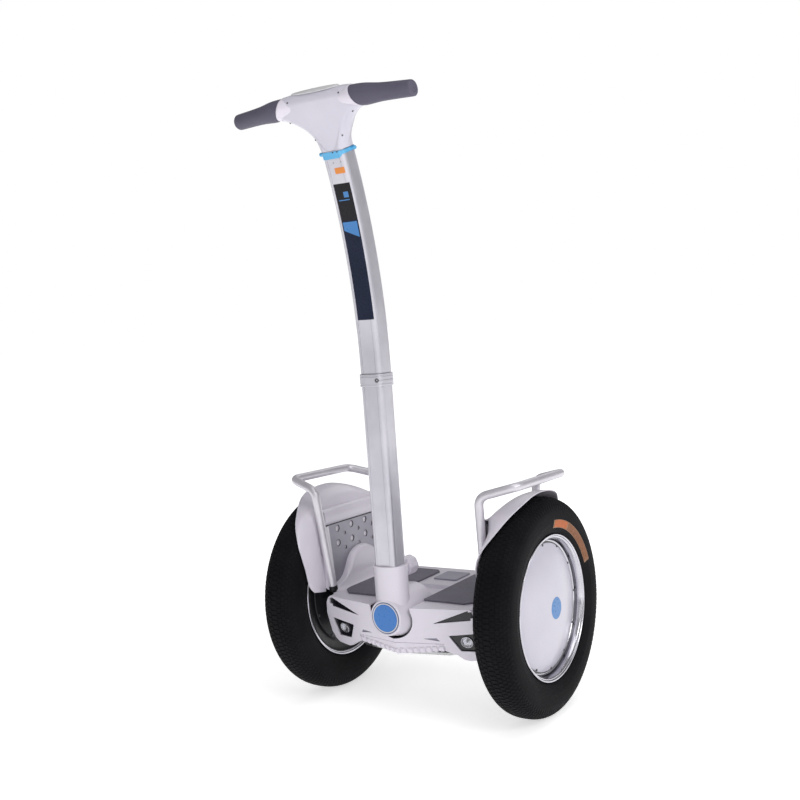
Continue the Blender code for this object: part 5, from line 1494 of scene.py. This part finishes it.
def build_nose():
    """The front cover with a round pocket for the hub, a black sleeve in the pocket that paints the shade of
    the gap round the hub, and dark inserts behind its slots and vents.
    """
    hub = (0.0, 0.0, PIVOT_Z)
    wide = HUB_RADIUS + 0.0010
    pocket = turned([(-0.25, 0.0), (-0.25, wide), (0.0, wide), (0.0, 0.0)], "Y", hub)
    # A black sleeve on the pocket's wall: painted shade in the gap round the hub.
    low, high = HUB_RADIUS - 0.0002, HUB_RADIUS + 0.0008
    around = [(x, min(z, DECK_Z - 0.0125)) for x, z in circle(0.0, PIVOT_Z, HUB_RADIUS + 0.006, 48)]
    liner = combined(
        turned([(-0.25, low), (-0.25, high), (-0.12, high), (-0.12, low)], "Y", hub), "INTERSECT",
        nose_slab(around, 0.0006, 0.0300),
    )
    add("hub_pocket_shade", liner, "black_plastic", "chassis")
    below = prism(round_rect(0.08, 0.08, 0.01, 2), "Y", -0.30, 0.05)
    below.transform(Matrix.Translation((0.0, 0.0, DECK_Z - 0.0045 - 0.08)))
    slot = [(0.0950, 0.2215), (0.1800, 0.2318), (0.1775, 0.2545)]
    cuts = [combined(pocket, "INTERSECT", below)]
    cuts += [nose_slab(sided(slot, sign), -0.03, 0.006) for sign in (-1, 1)]
    mesh = eased(combined(node_mesh("front_cover", False), "DIFFERENCE", *cuts), 0.0012, 3, 30.0, True)
    add("front_cover_shell", mesh, "white_plastic", "chassis", "front_cover", angle=None)
    behind_slot = [(0.0900, 0.2190), (0.1830, 0.2275), (0.1830, 0.2550), (0.1730, 0.2550)]
    behind_vent = [(0.0600, 0.1880), (0.1020, 0.1760), (0.1040, 0.1920), (0.0700, 0.1930)]
    for side, sign in SIDES:
        for name, look, depth, outline in (
            ("slot", "gloss_black", 0.0016, behind_slot), ("vent", "grey_plastic", 0.0030, behind_vent),
        ):
            mesh = nose_slab(sided(outline, sign), depth, depth + 0.0012)
            add(f"nose_{name}_{side}", mesh, look, "chassis")


def build_platform():
    build_nose()
    for node, look, width in (
        ("deck_cover", "white_plastic", 0.0016), ("rear_cover", "white_plastic", 0.0012),
        ("bottom_pan", "steel", 0.0006), ("foot_mat_left", "mat_rubber", 0.0012),
        ("foot_mat_right", "mat_rubber", 0.0012), ("centre_panel", "grey_plastic", 0.0008),
        ("tail_light", "red_lens", 0.0008), ("charging_socket", "black_plastic", 0.0003),
        ("port_cap", "black_plastic", 0.0006), ("power_button", "blue_plastic", 0.0005),
    ):
        refined(node, look, width)
    build_headlights()
    build_chin()


# Surroundings


def build_camera():
    camera = placed("camera", bpy.data.cameras.new("camera"))
    camera.data.lens = CAMERA_LENS
    camera.data.sensor_width = 36.0
    camera.data.clip_start = 0.05
    camera.data.clip_end = 60.0
    right, up = Vector(CAMERA_RIGHT).normalized(), Vector(CAMERA_UP)
    up = (up - right * up.dot(right)).normalized()
    back = right.cross(up)
    turn = Matrix((right, up, back)).transposed().to_4x4()
    place = Vector(CAMERA_PLACE) + Vector((0.0, AXLE_Y, 0.0))
    camera.matrix_world = Matrix.Translation(place) @ turn
    bpy.context.scene.camera = camera


def build_floor():
    """Pale paper that grows brighter away from the object, so that it ends without a line."""
    reach = 40.0
    outline = [(-reach, -reach), (reach, -reach), (reach, reach), (-reach, reach)]
    floor = placed("floor", prism(outline, "Z", -0.02, 0.0))
    paper = finish("floor_paper", (0.90, 0.90, 0.90), (0.93, 0.93, 0.93), (0.80, 0.90), 0.01, patch=1.0)
    tree = paper.node_tree
    new = tree.nodes.new
    coordinates = new("ShaderNodeTexCoord").outputs["Object"]
    scaled = fed(tree, new("ShaderNodeMapping"), {"Scale": (0.5, 0.5, 0.5), "Vector": coordinates})
    near = fed(tree, new("ShaderNodeTexGradient"), {"Vector": scaled.outputs["Vector"]})
    near.gradient_type = "SPHERICAL"
    glow = fed(tree, new("ShaderNodeMapRange"), {
        "From Min": 0.0, "From Max": 0.75, "To Min": 0.85, "To Max": 0.60, "Value": near.outputs["Fac"],
    })
    fed(tree, tree.nodes["Principled BSDF"], {
        "Emission Color": (1.0, 1.0, 1.0, 1.0), "Specular IOR Level": 0.0,
        "Emission Strength": glow.outputs["Result"],
    })
    floor.data.materials.append(paper)


def build_world():
    """A white tent: brightest ahead of the object on its right, dimmest across from that, and a little
    dimmer below. The camera sees plain white.
    """
    world = bpy.data.worlds.new("studio")
    bpy.context.scene.world = world
    world.use_nodes = True
    tree = world.node_tree
    new = tree.nodes.new
    coordinates = new("ShaderNodeTexCoord").outputs["Generated"]

    def band(direction, stops):
        """A brightness that depends on how far a direction lies along the given one."""
        along = new("ShaderNodeVectorMath")
        along.operation = "DOT_PRODUCT"
        fed(tree, along, {0: coordinates, 1: direction})
        lift = fed(tree, new("ShaderNodeMapRange"), {"From Min": -1.0, "Value": along.outputs["Value"]})
        ramp = fed(tree, new("ShaderNodeValToRGB"), {"Fac": lift.outputs["Result"]})
        elements = ramp.color_ramp.elements
        while len(elements) < len(stops):
            elements.new(0.5)
        for element, (position, value) in zip(elements, stops):
            element.position = position
            element.color = (value, value, value, 1.0)
        return ramp.outputs["Color"]

    round_about = band((0.75, -0.66, 0.0), ((0.0, 0.80), (0.46, 0.62), (0.60, 0.62), (0.78, 1.0)))
    above = band((0.0, 0.0, 1.0), ((0.40, 0.90), (0.55, 1.0)))
    both = new("ShaderNodeMix")
    both.data_type = "RGBA"
    both.blend_type = "MULTIPLY"
    fed(tree, both, {"Factor": 1.0, "A": round_about, "B": above})
    tent = fed(tree, tree.nodes["Background"], {"Color": both.outputs["Result"], "Strength": 0.45})
    white = fed(tree, new("ShaderNodeBackground"), {"Color": (1.0, 1.0, 1.0, 1.0)})
    mix = fed(tree, new("ShaderNodeMixShader"), {
        "Fac": new("ShaderNodeLightPath").outputs["Is Camera Ray"],
        1: tent.outputs["Background"], 2: white.outputs["Background"],
    })
    fed(tree, tree.nodes["World Output"], {"Surface": mix.outputs["Shader"]})


def build_lights():
    """Soft boxes: on the right, above, by the camera and behind the object."""
    aim = Vector((0.0, AXLE_Y, 0.5))
    for name, place, size, power in (
        ("right_box", (3.0, -1.3, 2.5), 1.6, 40.0),
        ("high_box", (0.9, -0.6, 4.5), 2.5, 32.0),
        ("camera_box", (2.0, -3.4, 1.5), 1.6, 5.0),
        ("back_box", (-0.6, 2.6, 2.4), 2.0, 10.0),
    ):
        data = bpy.data.lights.new(name, "AREA")
        data.shape = "SQUARE"
        data.size = size
        data.energy = power
        light = placed(name, data)
        light.location = place
        light.rotation_euler = (aim - Vector(place)).to_track_quat("-Z", "Y").to_euler()


bpy.context.scene.view_settings.view_transform = "Standard"
build_camera()
build_world()
build_lights()
build_floor()
dress_frame_nodes()
build_wheels()
build_stem()
build_collar()
build_ring()
build_labels()
build_stem_base()
build_badge()
build_knob()
build_head()
build_sockets()
build_grips()
build_guards()
build_platform()


def rows(box):
    return [[float(value) for value in corner] for corner in box]
